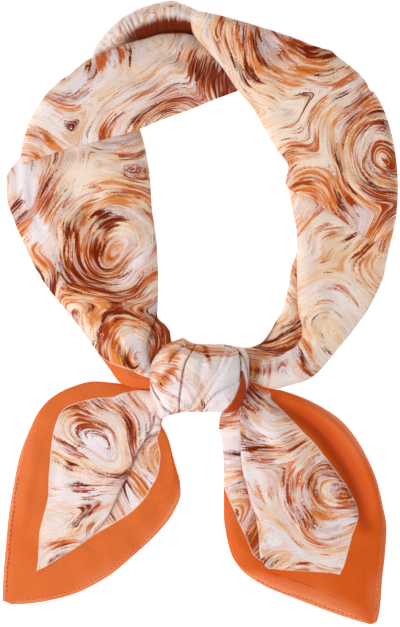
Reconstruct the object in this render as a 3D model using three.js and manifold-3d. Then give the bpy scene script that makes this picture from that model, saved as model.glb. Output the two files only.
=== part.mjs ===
// A square silk scarf, folded on the bias into a flat band, laid as a neck ring and tied in one
// wrapped knot, with its two pointed corners spread below. It lies on a table.
// Millimetres, +Z up. The table is z = 0, +Y runs from the knot to the top of the ring.
import * as THREE from 'three';
import { mergeVertices } from 'three/addons/utils/BufferGeometryUtils.js';
import Module from 'manifold-3d';

const wasm = await Module();
wasm.setup();

// Driving dimensions
const BAND_WALL = 2.0; // one leaf of the folded band
const BAND_LOFT = 7.8; // both leaves and the air between them
const LEAF_WALL = 1.6; // single cloth: the two ends and the loose leaves
const SLIT_HALF_ANGLE = 20; // degrees left open where the band's two leaves meet
const CLEARANCE = 0.35; // gap kept between neighbouring pieces
const ROW_STEP = 13; // longest step between two rows of the band
const LEAF_STEP = 14; // longest step between two rows of a single leaf
const LEAF_LIFT = 0.25; // underside of a loose leaf above the table

// Where the faces are divided, as shares of the width or degrees round a fold
const BAND_ACROSS = [0.34, 0.56, 0.78]; // between the band's two edges
const EDGE_FOLD_ANGLES = [-90, -135, 180, 135, 90]; // round the folded edge e1
const OPEN_EDGE_ANGLES = [90, 55, SLIT_HALF_ANGLE]; // from a leaf's flat to its free edge at e2
const HALF_TURN_ANGLES = [45, 90, 135]; // rows laid through a fold of the band
const PANEL_ACROSS = [0, 0.14, 0.32, 0.55, 0.78, 1]; // an end's upper panel, edge to fold
const UNDER_PANEL_ACROSS = [0.4, 0.75, 1]; // its lower panel, from behind the fold to the edge
const FOLD_DEPTH = 0.12; // share of the lower panel taken by the step behind the fold
const INNER_LEAF_ACROSS = [0, 0.12, 0.3, 0.6, 1];
const INNER_LEAF_LIFTED = 0.5; // share of the inner leaf that curls up towards its free edge

// Names the values of each row by its column.
function table(columns, rows) {
  return rows.map((row) => Object.fromEntries(columns.map((name, i) => [name, row[i]])));
}

// The band, from the knot round the ring and back to the knot. e1 and e2 are its two long edges,
// b1 and b2 the height of its underside there, bow how far the row bulges sideways, and lip how
// far the lower leaf slips out past edge e2.
const BAND_COLUMNS = ['e1x', 'e1y', 'e2x', 'e2y', 'b1', 'b2', 'bow', 'lip'];

const LEFT_STRETCH = table(BAND_COLUMNS, [
  [-24, -48, -5, -38, 4.5, 4.5, 0, 4],
  [-40.5, -47, -19, -32, 4, 4.5, 0, 8],
  [-49, -44.5, -30, -33.5, 3.5, 4, 0, 12],
  [-58, -33.5, -33.5, -21, 2, 2.5, 0, 14.5],
  [-65, -24, -31.5, -12, 1, 1.5, 0, 9.5],
  [-73, -13, -27.5, -1.5, 0, 0.5, 0, 0],
  [-82, -1, -26.5, 9.5, 0, 0, 0, 0],
  [-92, 11, -26.5, 22.5, 0, 0, 0, 0],
  [-102, 25.5, -27, 37.5, 0, 0, 0, 0],
  [-110, 42, -28.5, 52, 0, 0, 0, 0],
  [-117, 58.5, -30.5, 67, 0, 0, 0, 0],
  [-121.5, 73, -31.5, 83, 0, 0, 0, 0],
  [-120.5, 83, -33.5, 98, 0, 0, 0, 0],
  [-116, 88, -38.5, 116.5, 0, 0, 0, 0],
  [-111.5, 88, -54, 136, 0, 0, 3, 0],
  [-108, 88.5, -70, 148, 0, 0, 6, 0],
]);
const LEFT_FOLD = { e1x: -113, e1y: 94.5, e2x: -78, e2y: 154, bow: 7.5 };
const UPPER_LEFT_STRETCH = table(BAND_COLUMNS, [
  [-106, 95.5, -72, 157.5, 8.4, 8.4, 6, 0],
  [-96, 98.5, -65, 161, 8.4, 8.4, 3, 0],
  [-84, 102.5, -59, 163.5, 8.4, 8.4, 1, 0],
  [-70.5, 106, -51.5, 166.5, 8.4, 8, 0, 0],
  [-55.5, 110, -43.5, 169.5, 8.4, 6.5, 0, 0],
  [-38.5, 115, -34, 172, 8.4, 5, 0, 0],
  [-22, 122, -23.5, 175, 6, 4, 0, 0],
  [-6.5, 127.5, -11.5, 175.5, 3.6, 3, 0, 0],
  [9, 134, 0, 173.5, 2.6, 2.6, 0, 0],
  [23.5, 139.5, 4, 174.5, 2.2, 2.4, 0, 0],
  [39, 146.5, 7, 175.5, 2, 2.2, 0, 0],
  [55, 153, 10, 176.5, 2, 2, 0, 0],
  [70, 159.5, 13, 177.5, 2, 2, 0, 0],
]);
const TOP_FOLD = { e1x: 74.5, e1y: 167.5, e2x: -6.5, e2y: 192, bow: -0.5 };
const UPPER_RIGHT_STRETCH = table(BAND_COLUMNS, [
  [81, 164, -6.5, 184, 10.4, 10.8, 0, 0],
  [85, 161, -4.5, 175.5, 10.2, 10.8, 0, 0],
  [89, 158, 4, 165, 9.8, 10.8, 0, 0],
  [92.5, 155.5, 14, 153.5, 9.4, 10.8, 0, 0],
  [95.5, 153, 23.5, 139.5, 9, 10.4, 0, 0],
  [98, 151, 32, 130, 8.8, 8, 0, 0],
  [99.5, 149.5, 40.5, 115.5, 8.6, 5, 0, 0],
  [101, 148, 48.5, 102, 8.4, 5, 0, 0],
  [102, 147, 55.5, 91, 8.4, 7.5, 0, 0],
  [102.5, 146.5, 53.5, 81, 8.4, 8.4, 1, 0],
  [103, 146, 68, 71, 8.4, 8.4, 2, 0],
  [103.5, 145, 85, 61, 8.4, 8.4, 4, 0],
  [104, 144, 102, 48.5, 8.4, 8.4, 6, 0],
  [104.5, 143, 112, 42.5, 8.4, 8.4, 7, 0],
]);
const RIGHT_FOLD = { e1x: 109.5, e1y: 138, e2x: 119, e2y: 38, bow: 8 };
const RIGHT_STRETCH = table(BAND_COLUMNS, [
  [104, 132, 116.5, 30.5, 0, 0, 6.5, 0],
  [88, 115, 116, 25.5, 0, 0, 4, 0],
  [72, 97.5, 113.5, 18, 0, 0, 2, 0],
  [56, 78.5, 109.5, 9.5, 0, 0, 0, 0],
  [58.5, 64, 105, 1, 1.2, 0, 0, 0],
  [61, 49, 99.5, -6.5, 2.6, 0, 0, 0],
  [61, 34.5, 94, -14, 3.2, 0.4, 0, 0],
  [61, 19.5, 87.5, -21.5, 3.2, 0.8, 0, 0],
  [61.5, 3.5, 82, -28.5, 3.2, 1.2, 0, 0],
  [64.5, -11, 75.5, -36, 3.2, 1.8, 0, 0],
  [60.5, -21, 67, -42.5, 3.4, 2.6, 0, 0],
  [51, -26, 56.5, -45.5, 3.4, 3.2, 0, 0],
  [43, -29, 48, -47.5, 4, 4, 0, 0],
  [34.5, -29.5, 39.5, -46, 4.5, 4.5, 0, 0],
  [27, -28, 31.5, -42.5, 4.5, 4.5, 0, 0],
  [14, -27, 16, -41, 4.5, 4.5, 0, 0],
]);

// The roll at the top of the ring, where the back of the band bulges out past its upper edge:
// outer edge, inner edge tucked under the band, and the height of its crest.
const BACK_FOLD = table(['ox', 'oy', 'ix', 'iy', 'crest'], [
  [-68, 158, -61, 156.5, 3.2],
  [-66.5, 165, -57, 160, 6],
  [-61.5, 173, -50, 163.5, 9.5],
  [-54.5, 180.5, -43, 165.5, 12.5],
  [-44.5, 188, -35, 167.5, 14.5],
  [-34, 192.5, -27.5, 169.5, 15.5],
  [-25, 195, -20.5, 171, 16],
  [-17.5, 196, -14.5, 171.5, 16],
  [-10.5, 194, -9.5, 171, 16],
]);
// Across the roll: how far from outer to inner edge, and how high in crests.
const BACK_FOLD_PROFILE = table(['across', 'rise'], [
  [0.14, 0.0],
  [0.02, 0.2],
  [0.02, 0.55],
  [0.16, 0.88],
  [0.34, 1.0],
  [0.5, 0.8],
  [0.6, 0.35],
  [0.68, 0.05],
  [1.0, 0.0],
]);

// The inner leaf that slips out of the right stretch on the neck side: its free edge, its hidden
// edge, and how far the free edge lifts.
const INNER_LEAF = table(['fx', 'fy', 'hx', 'hy', 'lift'], [
  [61.5, 39.5, 66, 38.5, 0],
  [58, 29.5, 67, 27.5, 0.4],
  [55.5, 16, 67.5, 14.5, 1.2],
  [52.5, 3.5, 68, 0.5, 2],
  [48, -5, 68, -9, 2.6],
  [43.5, -13, 64.5, -17.5, 3],
  [38, -19.5, 55, -24, 2.6],
  [30, -22, 41, -25.5, 2],
  [18, -21.5, 24, -25.5, 1.4],
]);

// The two corners of the square, from the knot to the tip: left edge, the knife pleat's fold,
// right edge, the heights of the three, how far the cloth steps down behind the fold, and how
// high the side panel puffs between them. The pleat lies over the right panel on the left end
// and over the left panel on the right end.
const END_COLUMNS = ['lx', 'ly', 'fx', 'fy', 'rx', 'ry', 'lz', 'fz', 'rz', 'step', 'puff'];
const LEFT_END = table(END_COLUMNS, [
  [-25, -46, -20, -52.5, -15, -60, 0.4, 7, 4, 3, 1],
  [-31.5, -47.5, -26.5, -57, -22.5, -64, 0.4, 8, 4, 4, 1],
  [-40.5, -46, -28.5, -64, -24.5, -70, 0.4, 8.5, 3, 4, 1.5],
  [-49, -45, -30, -70, -22.5, -74, 0.4, 8.5, 2, 4, 2],
  [-66, -43.5, -34, -78.5, -20, -80, 0.4, 8, 1, 4, 2.5],
  [-82, -47.5, -38.5, -86, -17.5, -89.5, 0.3, 7.5, 0.5, 4, 3],
  [-93, -53.5, -42, -94, -15.5, -97, 0, 7, 0, 4, 3],
  [-101, -62, -46, -103, -13, -106, 0, 6.5, 0, 3.6, 3],
  [-107, -74, -50, -111, -12.5, -113.5, 0, 6, 0, 3.2, 3],
  [-113, -89.5, -54, -120, -17, -125.5, 0, 5.5, 0, 2.8, 2.5],
  [-117, -109, -59, -129.5, -28.5, -140, 0, 4.8, 0, 2.2, 2],
  [-120, -127.5, -67, -139, -42, -152.5, 0, 3.8, 0, 1.2, 2],
  [-122, -146.5, -79.5, -148, -59, -166.5, 0, 2.6, 0, 0.6, 1.5],
  [-123.5, -165, -98.5, -162, -84.5, -178.5, 0, 1.4, 0, 0.2, 1],
  [-124, -177, -114.5, -173.5, -109, -183.5, 0, 0.5, 0, 0, 0.4],
  [-124, -183, -121.5, -181, -118.5, -183.5, 0, 0, 0, 0, 0],
]);
const RIGHT_END = table(END_COLUMNS, [
  [13, -50, 20, -46, 22, -40, 3, 7, 0.4, 3, 1],
  [15, -60, 26.5, -53.5, 31.5, -43, 3, 8, 0.4, 4, 1],
  [12.5, -65.5, 26.5, -60, 40.5, -47, 2.5, 8, 0.4, 4, 1.5],
  [12, -72, 25.5, -69, 50.5, -49, 1.5, 8, 0.4, 4, 2],
  [13.5, -80, 26, -79, 63, -53, 0.8, 7.5, 0.4, 4, 2.5],
  [14.5, -88.5, 26, -88.5, 75.5, -59, 0.4, 7, 0.2, 4, 3],
  [15, -98, 27, -98, 87.5, -67, 0, 7, 0, 4, 3],
  [15, -108, 29.5, -108, 97.5, -78.5, 0, 6.5, 0, 4, 3],
  [15, -118, 32, -118, 105, -91.5, 0, 6.5, 0, 3.8, 3],
  [15, -128, 35.5, -128.5, 111, -106, 0, 6, 0, 3.4, 3],
  [16.5, -139, 37, -140, 114.5, -120.5, 0, 5.5, 0, 3, 2.5],
  [19.5, -151, 38, -152.5, 117, -135.5, 0, 4.8, 0, 2.4, 2.5],
  [26.5, -162, 43, -161, 116, -152.5, 0, 4, 0, 1.4, 2],
  [39, -171, 56.5, -167, 114.5, -167, 0, 3, 0, 0.8, 1.5],
  [63, -181, 77, -174.5, 113.5, -181, 0, 2, 0, 0.4, 1],
  [91.5, -191.5, 98.5, -186, 112.5, -189, 0, 1, 0, 0.1, 0.5],
  [106.5, -196, 109, -193.5, 111.5, -195, 0, 0, 0, 0, 0],
]);

// The knot: at each station across it, its lower and upper outline and its height.
const KNOT = table(['x', 'low', 'high', 'top'], [
  [-31.5, -49, -35, 12],
  [-29.5, -56, -30.5, 16],
  [-26, -65, -26, 20.5],
  [-21.5, -64.5, -21.5, 24],
  [-16.5, -63, -16.5, 26.5],
  [-10, -62.5, -15.5, 28.5],
  [-3, -61.5, -18, 29.5],
  [5, -61.5, -19, 29.5],
  [13, -62, -19.5, 28.5],
  [20, -62.5, -20.5, 26.5],
  [25, -59, -21.5, 23],
  [28.5, -52.5, -24, 18],
  [31, -46, -30, 12],
]);
const KNOT_STATIONS = 26;
const KNOT_AROUND = 22;
const KNOT_FLAT = 0.3; // share of the height cut off flat where the knot rests
const KNOT_SQUARENESS = 0.8; // below 1 the section is fuller than an ellipse
// Pleats pressed into the wrap: their line from its upper to its lower edge, depth and width.
const KNOT_PLEATS = table(['x0', 'y0', 'x1', 'y1', 'depth', 'width'], [
  [3, -20, -12.5, -29, 1.2, 1.8],
  [-3, -20, -13.5, -62, 2.4, 1.8],
  [26, -20, 1, -61, 1.8, 2.4],
  [26, -44, 4, -60, 1.4, 1.8],
]);

const CLOTH = { print: 0xeaded6, border: 0xdc6a2c };

// Cubic through all rows of numbers that never swings past them, on a scale of the real distance
// between the rows.
function smoothRows(rows, place, step) {
  const at = [0];
  for (let i = 1; i < rows.length; i += 1) {
    at.push(at[i - 1] + Math.max(place(rows[i - 1], rows[i]), 1e-3));
  }
  const chord = (i, k) => (rows[i + 1][k] - rows[i][k]) / (at[i + 1] - at[i]);
  const slope = (i, k) => {
    if (i === 0) return chord(0, k);
    if (i === rows.length - 1) return chord(i - 1, k);
    const before = chord(i - 1, k);
    const after = chord(i, k);
    return before * after > 0 ? (2 * before * after) / (before + after) : 0;
  };
  const result = [rows[0].slice()];
  for (let i = 1; i < rows.length; i += 1) {
    const span = at[i] - at[i - 1];
    const parts = Math.max(1, Math.ceil(span / step));
    for (let j = 1; j <= parts; j += 1) {
      const t = j / parts;
      const s = t * t * (3 - 2 * t);
      result.push(rows[i].map((value, k) => {
        const a = slope(i - 1, k) * span * t * (1 - t) * (1 - t);
        const b = slope(i, k) * span * t * t * (1 - t);
        return rows[i - 1][k] * (1 - s) + value * s + a - b;
      }));
    }
  }
  return result;
}

// A closed wall of the given thickness round a grid of mid-surface points.
function wall(grid, thickness) {
  const rows = grid.length;
  const cols = grid[0].length;
  const positions = [];
  const push = (p) => positions.push(p.x, p.y, p.z);
  const offset = (i, j, sign) => {
    const along = grid[Math.min(i + 1, rows - 1)][j].clone().sub(grid[Math.max(i - 1, 0)][j]);
    const across = grid[i][Math.min(j + 1, cols - 1)].clone().sub(grid[i][Math.max(j - 1, 0)]);
    const normal = across.cross(along).normalize();
    return grid[i][j].clone().addScaledVector(normal, (sign * thickness) / 2);
  };
  for (const sign of [1, -1]) {
    for (let i = 0; i < rows; i += 1) for (let j = 0; j < cols; j += 1) push(offset(i, j, sign));
  }
  const back = rows * cols;
  const index = [];
  const quad = (a, b, c, d) => index.push(a, b, c, a, c, d);
  const id = (i, j) => i * cols + j;
  for (let i = 0; i + 1 < rows; i += 1) {
    for (let j = 0; j + 1 < cols; j += 1) {
      quad(id(i, j), id(i, j + 1), id(i + 1, j + 1), id(i + 1, j));
      quad(back + id(i, j), back + id(i + 1, j), back + id(i + 1, j + 1), back + id(i, j + 1));
    }
  }
  const rim = [];
  for (let j = 0; j < cols; j += 1) rim.push(id(0, j));
  for (let i = 1; i < rows; i += 1) rim.push(id(i, cols - 1));
  for (let j = cols - 2; j >= 0; j -= 1) rim.push(id(rows - 1, j));
  for (let i = rows - 2; i > 0; i -= 1) rim.push(id(i, 0));
  rim.forEach((a, k) => {
    const b = rim[(k + 1) % rim.length];
    quad(b, a, back + a, back + b);
  });
  return { positions, index };
}

function geometryOf({ positions, index }) {
  const geometry = new THREE.BufferGeometry();
  geometry.setAttribute('position', new THREE.Float32BufferAttribute(positions, 3));
  geometry.setIndex(index);
  return geometry;
}

// Joins and cuts are worked out on merged, closed meshes.
function solidOf(geometry) {
  const plain = geometry.clone();
  plain.deleteAttribute('normal');
  plain.deleteAttribute('uv');
  const merged = mergeVertices(plain, 1e-4);
  return new wasm.Manifold(new wasm.Mesh({
    numProp: 3,
    vertProperties: new Float32Array(merged.attributes.position.array),
    triVerts: new Uint32Array(merged.index.array),
  }));
}

function geometryFrom(solid) {
  const mesh = solid.getMesh();
  return geometryOf({ positions: Array.from(mesh.vertProperties), index: Array.from(mesh.triVerts) });
}

// The piece without what the knot hides, as its one largest body.
function clearOf(geometry, cutter) {
  const bodies = solidOf(geometry).subtract(cutter).decompose();
  bodies.sort((a, b) => b.volume() - a.volume());
  return geometryFrom(bodies[0]);
}

// Unit vector square to a band row, on the left hand looking from e1 to e2.
function sideOf(row) {
  return new THREE.Vector3(-(row.e2y - row.e1y), row.e2x - row.e1x, 0).normalize();
}

const LEAF_APART = BAND_LOFT - BAND_WALL; // middle of one leaf to the middle of the other
const ROW_KEYS = ['x1', 'y1', 'z1', 'x2', 'y2', 'z2', 'bow', 'roll', 'lip'];

// A row as the mid-line of leaf a: roll 0 has leaf a below, and 180 or -180 has it on top.
function leafLine(row, roll) {
  const raise = BAND_WALL / 2 + (LEAF_APART * (1 - Math.cos(THREE.MathUtils.degToRad(roll)))) / 2;
  return [row.e1x, row.e1y, row.b1 + raise, row.e2x, row.e2y, row.b2 + raise, row.bow, roll, row.lip];
}

// The half turn that carries the band over a fold line, from the last row before it to the first
// row after it: on an arc, out by the sine of the angle and up or down by its cosine.
function halfTurn(before, fold, after) {
  const turn = after[7] - before[7];
  const inner = fold.leafInside ? LEAF_APART : 0;
  const side = sideOf(fold).multiplyScalar(fold.outward * (BAND_WALL / 2 + inner));
  const line = [fold.e1x - side.x, fold.e1y - side.y, fold.e2x - side.x, fold.e2y - side.y];
  return HALF_TURN_ANGLES.map((degrees) => {
    const angle = THREE.MathUtils.degToRad(degrees);
    const near = degrees < 90 ? before : after;
    const out = Math.sin(angle);
    const mix = (k, value) => near[k] + (value - near[k]) * out;
    const height = (k) => (before[k] + after[k]) / 2 + ((before[k] - after[k]) / 2) * Math.cos(angle);
    const roll = before[7] + (turn * degrees) / 180;
    return [
      mix(0, line[0]), mix(1, line[1]), height(2),
      mix(3, line[2]), mix(4, line[3]), height(5),
      mix(6, fold.bow), roll, 0,
    ];
  });
}

function bandRows() {
  const left = LEFT_STRETCH.map((row) => leafLine(row, 0));
  const upperLeft = UPPER_LEFT_STRETCH.map((row) => leafLine(row, 180));
  const upperRight = UPPER_RIGHT_STRETCH.map((row) => leafLine(row, 0));
  const right = RIGHT_STRETCH.map((row) => leafLine(row, -180));
  const over = (a, fold, b) => halfTurn(a.at(-1), fold, b[0]);
  return [
    ...left,
    ...over(left, { ...LEFT_FOLD, outward: 1, leafInside: false }, upperLeft),
    ...upperLeft,
    ...over(upperLeft, { ...TOP_FOLD, outward: -1, leafInside: true }, upperRight),
    ...upperRight,
    ...over(upperRight, { ...RIGHT_FOLD, outward: 1, leafInside: true }, right),
    ...right,
  ];
}

// Once round the flattened tube: leaf a from edge e2 to e1, the fold at e1, then leaf b back.
function bandLoop() {
  const loop = [];
  for (const angle of [...OPEN_EDGE_ANGLES].reverse()) loop.push({ edge: 2, angle: -angle, a: true });
  for (const across of [...BAND_ACROSS].reverse()) loop.push({ across, level: 0 });
  for (const angle of EDGE_FOLD_ANGLES) loop.push({ edge: 1, angle });
  for (const across of BAND_ACROSS) loop.push({ across, level: 1 });
  for (const angle of OPEN_EDGE_ANGLES) loop.push({ edge: 2, angle, a: false });
  return loop;
}

function neckBand() {
  const apart = (p, q) => (Math.hypot(p[0] - q[0], p[1] - q[1], p[2] - q[2])
    + Math.hypot(p[3] - q[3], p[4] - q[4], p[5] - q[5])) / 2;
  const rows = smoothRows(bandRows(), apart, ROW_STEP);
  const loop = bandLoop();
  const radius = LEAF_APART / 2;
  const grid = rows.map((values) => {
    const row = Object.fromEntries(ROW_KEYS.map((name, k) => [name, values[k]]));
    const one = new THREE.Vector3(row.x1, row.y1, row.z1);
    const two = new THREE.Vector3(row.x2, row.y2, row.z2);
    const width = two.distanceTo(one);
    const side = sideOf({ e1x: row.x1, e1y: row.y1, e2x: row.x2, e2y: row.y2 });
    const roll = THREE.MathUtils.degToRad(row.roll);
    const up = new THREE.Vector3(0, 0, Math.cos(roll)).addScaledVector(side, -Math.sin(roll));
    return loop.map((point) => {
      const inset = radius + BAND_WALL / 2;
      let distance = inset + (width - 2 * inset) * (point.across ?? 0);
      let level = (point.level ?? 0) * LEAF_APART;
      if (point.edge) {
        const angle = THREE.MathUtils.degToRad(point.angle);
        const centre = point.edge === 1 ? inset : width - inset;
        distance = centre + radius * Math.cos(angle);
        level = radius * (1 + Math.sin(angle));
        if (point.a && row.lip > 0) {
          const slipped = (90 + point.angle) / (90 - SLIT_HALF_ANGLE);
          const share = Math.min(1, row.lip / inset);
          distance += (centre + slipped * (inset + row.lip) - distance) * share;
          level *= 1 - share;
        }
      }
      const across = distance / width;
      return one.clone().lerp(two, across).addScaledVector(up, level)
        .addScaledVector(side, row.bow * 4 * across * (1 - across));
    });
  });
  return geometryOf(wall(grid, BAND_WALL));
}

// A loose single leaf: rows of plain points, smoothed along their length.
function leaf(pointRows, step) {
  const flat = pointRows.map((points) => points.flatMap((p) => [p.x, p.y, p.z]));
  const gap = (p, q, k) => Math.hypot(p[k] - q[k], p[k + 1] - q[k + 1], p[k + 2] - q[k + 2]);
  const apart = (p, q) => (gap(p, q, 0) + gap(p, q, p.length - 3)) / 2;
  return smoothRows(flat, apart, step).map((row) => {
    const points = [];
    for (let k = 0; k < row.length; k += 3) points.push(new THREE.Vector3(...row.slice(k, k + 3)));
    return points;
  });
}

function backFold() {
  const floor = LEAF_LIFT + LEAF_WALL / 2;
  const grid = BACK_FOLD.map((row) => BACK_FOLD_PROFILE.map(({ across, rise }) => new THREE.Vector3(
    row.ox + (row.ix - row.ox) * across,
    row.oy + (row.iy - row.oy) * across,
    floor + (row.crest - LEAF_WALL - LEAF_LIFT) * rise,
  )));
  return geometryOf(wall(leaf(grid, LEAF_STEP), LEAF_WALL));
}

function innerLeaf() {
  const floor = LEAF_LIFT + LEAF_WALL / 2;
  const grid = INNER_LEAF.map((row) => INNER_LEAF_ACROSS.map((across) => new THREE.Vector3(
    row.fx + (row.hx - row.fx) * across,
    row.fy + (row.hy - row.fy) * across,
    floor + row.lift * Math.max(0, 1 - across / INNER_LEAF_LIFTED) ** 2,
  )));
  return geometryOf(wall(leaf(grid, LEAF_STEP), LEAF_WALL));
}

// One corner of the square. Across a row the cloth runs from one edge, over the puffed panel to
// the fold, steps down behind it and runs out under it to the other edge.
function cornerEnd(rows, pleatOverRight) {
  const grid = rows.map((row) => {
    const left = new THREE.Vector3(row.lx, row.ly, row.lz);
    const right = new THREE.Vector3(row.rx, row.ry, row.rz);
    const fold = new THREE.Vector3(row.fx, row.fy, row.fz);
    const [near, far] = pleatOverRight ? [left, right] : [right, left];
    const between = (a, b, t, puff) => {
      const point = a.clone().lerp(b, t);
      point.z += puff * 4 * t * (1 - t);
      return point;
    };
    const behind = fold.clone().lerp(far, FOLD_DEPTH);
    behind.z = Math.max(fold.z - row.step, Math.min(far.z, fold.z));
    const line = PANEL_ACROSS.map((t) => between(near, fold, t, row.puff));
    line.push(behind);
    line.push(...UNDER_PANEL_ACROSS.map((t) => between(behind, far, t, row.puff / 2)));
    line.forEach((p) => { p.z += LEAF_WALL / 2; });
    return pleatOverRight ? line : line.reverse();
  });
  return geometryOf(wall(leaf(grid, LEAF_STEP), LEAF_WALL));
}

// The wrapped knot, grown by a margin where it cuts its neighbours.
function knot(margin) {
  const keys = ['x', 'low', 'high', 'top'];
  const coarse = KNOT.map((row) => keys.map((name) => row[name]));
  const length = coarse.at(-1)[0] - coarse[0][0];
  const stations = smoothRows(coarse, (p, q) => Math.abs(p[0] - q[0]), length / KNOT_STATIONS);
  const positions = [];
  stations.forEach(([x, low, high, top], i) => {
    const middle = (low + high) / 2;
    const half = (high - low) / 2 + margin;
    const height = top / (1 - KNOT_FLAT / 2) / 2;
    const shift = i === 0 ? -margin : i === stations.length - 1 ? margin : 0;
    for (let j = 0; j < KNOT_AROUND; j += 1) {
      const angle = (2 * Math.PI * j) / KNOT_AROUND;
      const cos = Math.cos(angle);
      const sin = Math.sin(angle);
      const y = middle + half * Math.sign(cos) * Math.abs(cos) ** KNOT_SQUARENESS;
      let z = top - height + (height + margin) * Math.sign(sin) * Math.abs(sin) ** KNOT_SQUARENESS;
      if (sin > 0) {
        for (const pleat of KNOT_PLEATS) {
          const along = (y - pleat.y0) / (pleat.y1 - pleat.y0);
          const off = (x - (pleat.x0 + (pleat.x1 - pleat.x0) * along)) / pleat.width;
          const inside = along > 0 && along < 1 ? Math.sin(Math.PI * along) ** 0.5 : 0;
          z -= pleat.depth * inside * sin * Math.exp(-off * off);
        }
      }
      positions.push(x + shift, y, Math.max(z, margin > 0 ? -margin : 0));
    }
  });
  const index = [];
  const n = KNOT_AROUND;
  for (let i = 0; i + 1 < stations.length; i += 1) {
    for (let j = 0; j < n; j += 1) {
      const k = (j + 1) % n;
      const [a, b, c, d] = [i * n + j, i * n + k, (i + 1) * n + k, (i + 1) * n + j];
      index.push(a, b, c, a, c, d);
    }
  }
  const last = (stations.length - 1) * n;
  for (let j = 1; j + 1 < n; j += 1) {
    index.push(0, j + 1, j);
    index.push(last, last + j, last + j + 1);
  }
  return geometryOf({ positions, index });
}

function piece(name, geometry, color) {
  const shaded = geometry.index ? geometry.toNonIndexed() : geometry;
  shaded.computeVertexNormals();
  const material = new THREE.MeshStandardMaterial({ color, roughness: 0.5, metalness: 0 });
  const mesh = new THREE.Mesh(shaded, material);
  mesh.name = name;
  return mesh;
}

const knotCutter = solidOf(knot(CLEARANCE));
const scarf = new THREE.Group();
scarf.add(piece('neck_band', clearOf(neckBand(), knotCutter), CLOTH.print));
scarf.add(piece('back_fold', backFold(), CLOTH.print));
scarf.add(piece('inner_leaf', clearOf(innerLeaf(), knotCutter), CLOTH.print));
scarf.add(piece('knot', knot(0), CLOTH.print));
scarf.add(piece('left_end', clearOf(cornerEnd(LEFT_END, true), knotCutter), CLOTH.border));
scarf.add(piece('right_end', clearOf(cornerEnd(RIGHT_END, false), knotCutter), CLOTH.border));

export default scarf;
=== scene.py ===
# %% [markdown]
# # A square scarf, folded into a band and tied
#
# The real object is one square of printed silk twill. It is folded on the bias into a flat band,
# laid as a neck ring that turns over on itself at three folds, and held by one wrapped knot. Two
# corners of the square spread out below the knot, with the plain border and its stitched hem.
# Folded silk keeps sharp folds that a short cloth simulation would round off or slide apart, so
# every portion is a surface worked out from measured rows, and the finish comes from nodes.

# %% Load the frame
from types import SimpleNamespace

import bpy
import numpy as np
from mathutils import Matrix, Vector


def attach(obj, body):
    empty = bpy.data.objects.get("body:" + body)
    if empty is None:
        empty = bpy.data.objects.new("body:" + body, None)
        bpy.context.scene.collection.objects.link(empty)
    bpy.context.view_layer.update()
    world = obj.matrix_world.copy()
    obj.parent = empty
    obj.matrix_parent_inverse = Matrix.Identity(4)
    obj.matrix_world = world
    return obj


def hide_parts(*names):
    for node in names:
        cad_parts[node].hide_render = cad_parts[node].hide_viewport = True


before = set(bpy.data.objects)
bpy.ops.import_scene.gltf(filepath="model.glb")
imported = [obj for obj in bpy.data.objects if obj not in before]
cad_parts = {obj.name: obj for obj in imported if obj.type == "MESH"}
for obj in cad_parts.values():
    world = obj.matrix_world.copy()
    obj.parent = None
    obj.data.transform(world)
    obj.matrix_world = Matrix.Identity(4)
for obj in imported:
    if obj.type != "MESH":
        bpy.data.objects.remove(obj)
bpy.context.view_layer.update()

# %% [markdown]
# ## Rows and the curves through them
#
# Each portion is described by a short table with one row per cross-section, in millimetres from
# above, as a pattern cutter would note it. A cubic runs through the rows. Its slope at a row is
# the weighted harmonic mean of its neighbours' slopes, which never swings past the rows, so the
# silk doesn't dip under the table between two measurements.

# %% Tables and curves
MM = 0.001  # the tables are in millimetres and the scene is in metres


def table(columns, rows):
    """The columns of a table by name."""
    return dict(zip(columns.split(), np.array(rows, float).T))


def rows_of(named):
    """A table's rows, with its columns side by side."""
    return np.stack(list(named.values()), 1)


def together(*parts):
    """Coordinates as one array of points, each part first spread over the whole grid."""
    return np.stack(np.broadcast_arrays(*parts), -1)


def raised(plan, height):
    """Points seen from above, lifted to their heights."""
    return np.concatenate([plan, height[..., None]], -1)


def along_rows(rows, at, where):
    """Cubic through rows that stand at the distances `at`, read at the distances `where`."""
    span = np.diff(at)
    chord = np.diff(rows, axis=0) / span[:, None]
    before, after = chord[:-1], chord[1:]
    near, far = (span[:-1] + 2 * span[1:])[:, None], (2 * span[:-1] + span[1:])[:, None]
    same = before * after > 0
    safe = np.where(same, near * after + far * before, 1)
    middle = np.where(same, (near + far) * before * after / safe, 0)
    slope = np.concatenate([chord[:1], middle, chord[-1:]])
    i = np.clip(np.searchsorted(at, where, side="right") - 1, 0, len(span) - 1)
    h = span[i][:, None]
    t = (where - at[i])[:, None] / h
    s = t * t * (3 - 2 * t)
    swing = slope[i] * t * (1 - t) ** 2 - slope[i + 1] * t * t * (1 - t)
    return rows[i] * (1 - s) + rows[i + 1] * s + swing * h


def steps(at, step, least=1):
    """Distances from the first to the last row, no further apart than `step`."""
    counts = np.maximum(least, np.ceil(np.diff(at) / step)).astype(int)
    pieces = [np.linspace(a, b, n, endpoint=False) for a, b, n in zip(at[:-1], at[1:], counts)]
    return np.concatenate(pieces + [at[-1:]])


def distances(points):
    """Running distance along rows of points: the mean of what each point of a row moves."""
    moved = np.linalg.norm(np.diff(points, axis=0), axis=-1).mean(axis=1)
    return np.concatenate([[0], np.cumsum(np.maximum(moved, 1e-3))])


def unit(vectors):
    """The vectors with their length made 1."""
    return vectors / np.maximum(np.linalg.norm(vectors, axis=-1, keepdims=True), 1e-9)


print("10 mm in steps of 3 mm:", steps(np.array([0.0, 10.0]), 3))

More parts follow.
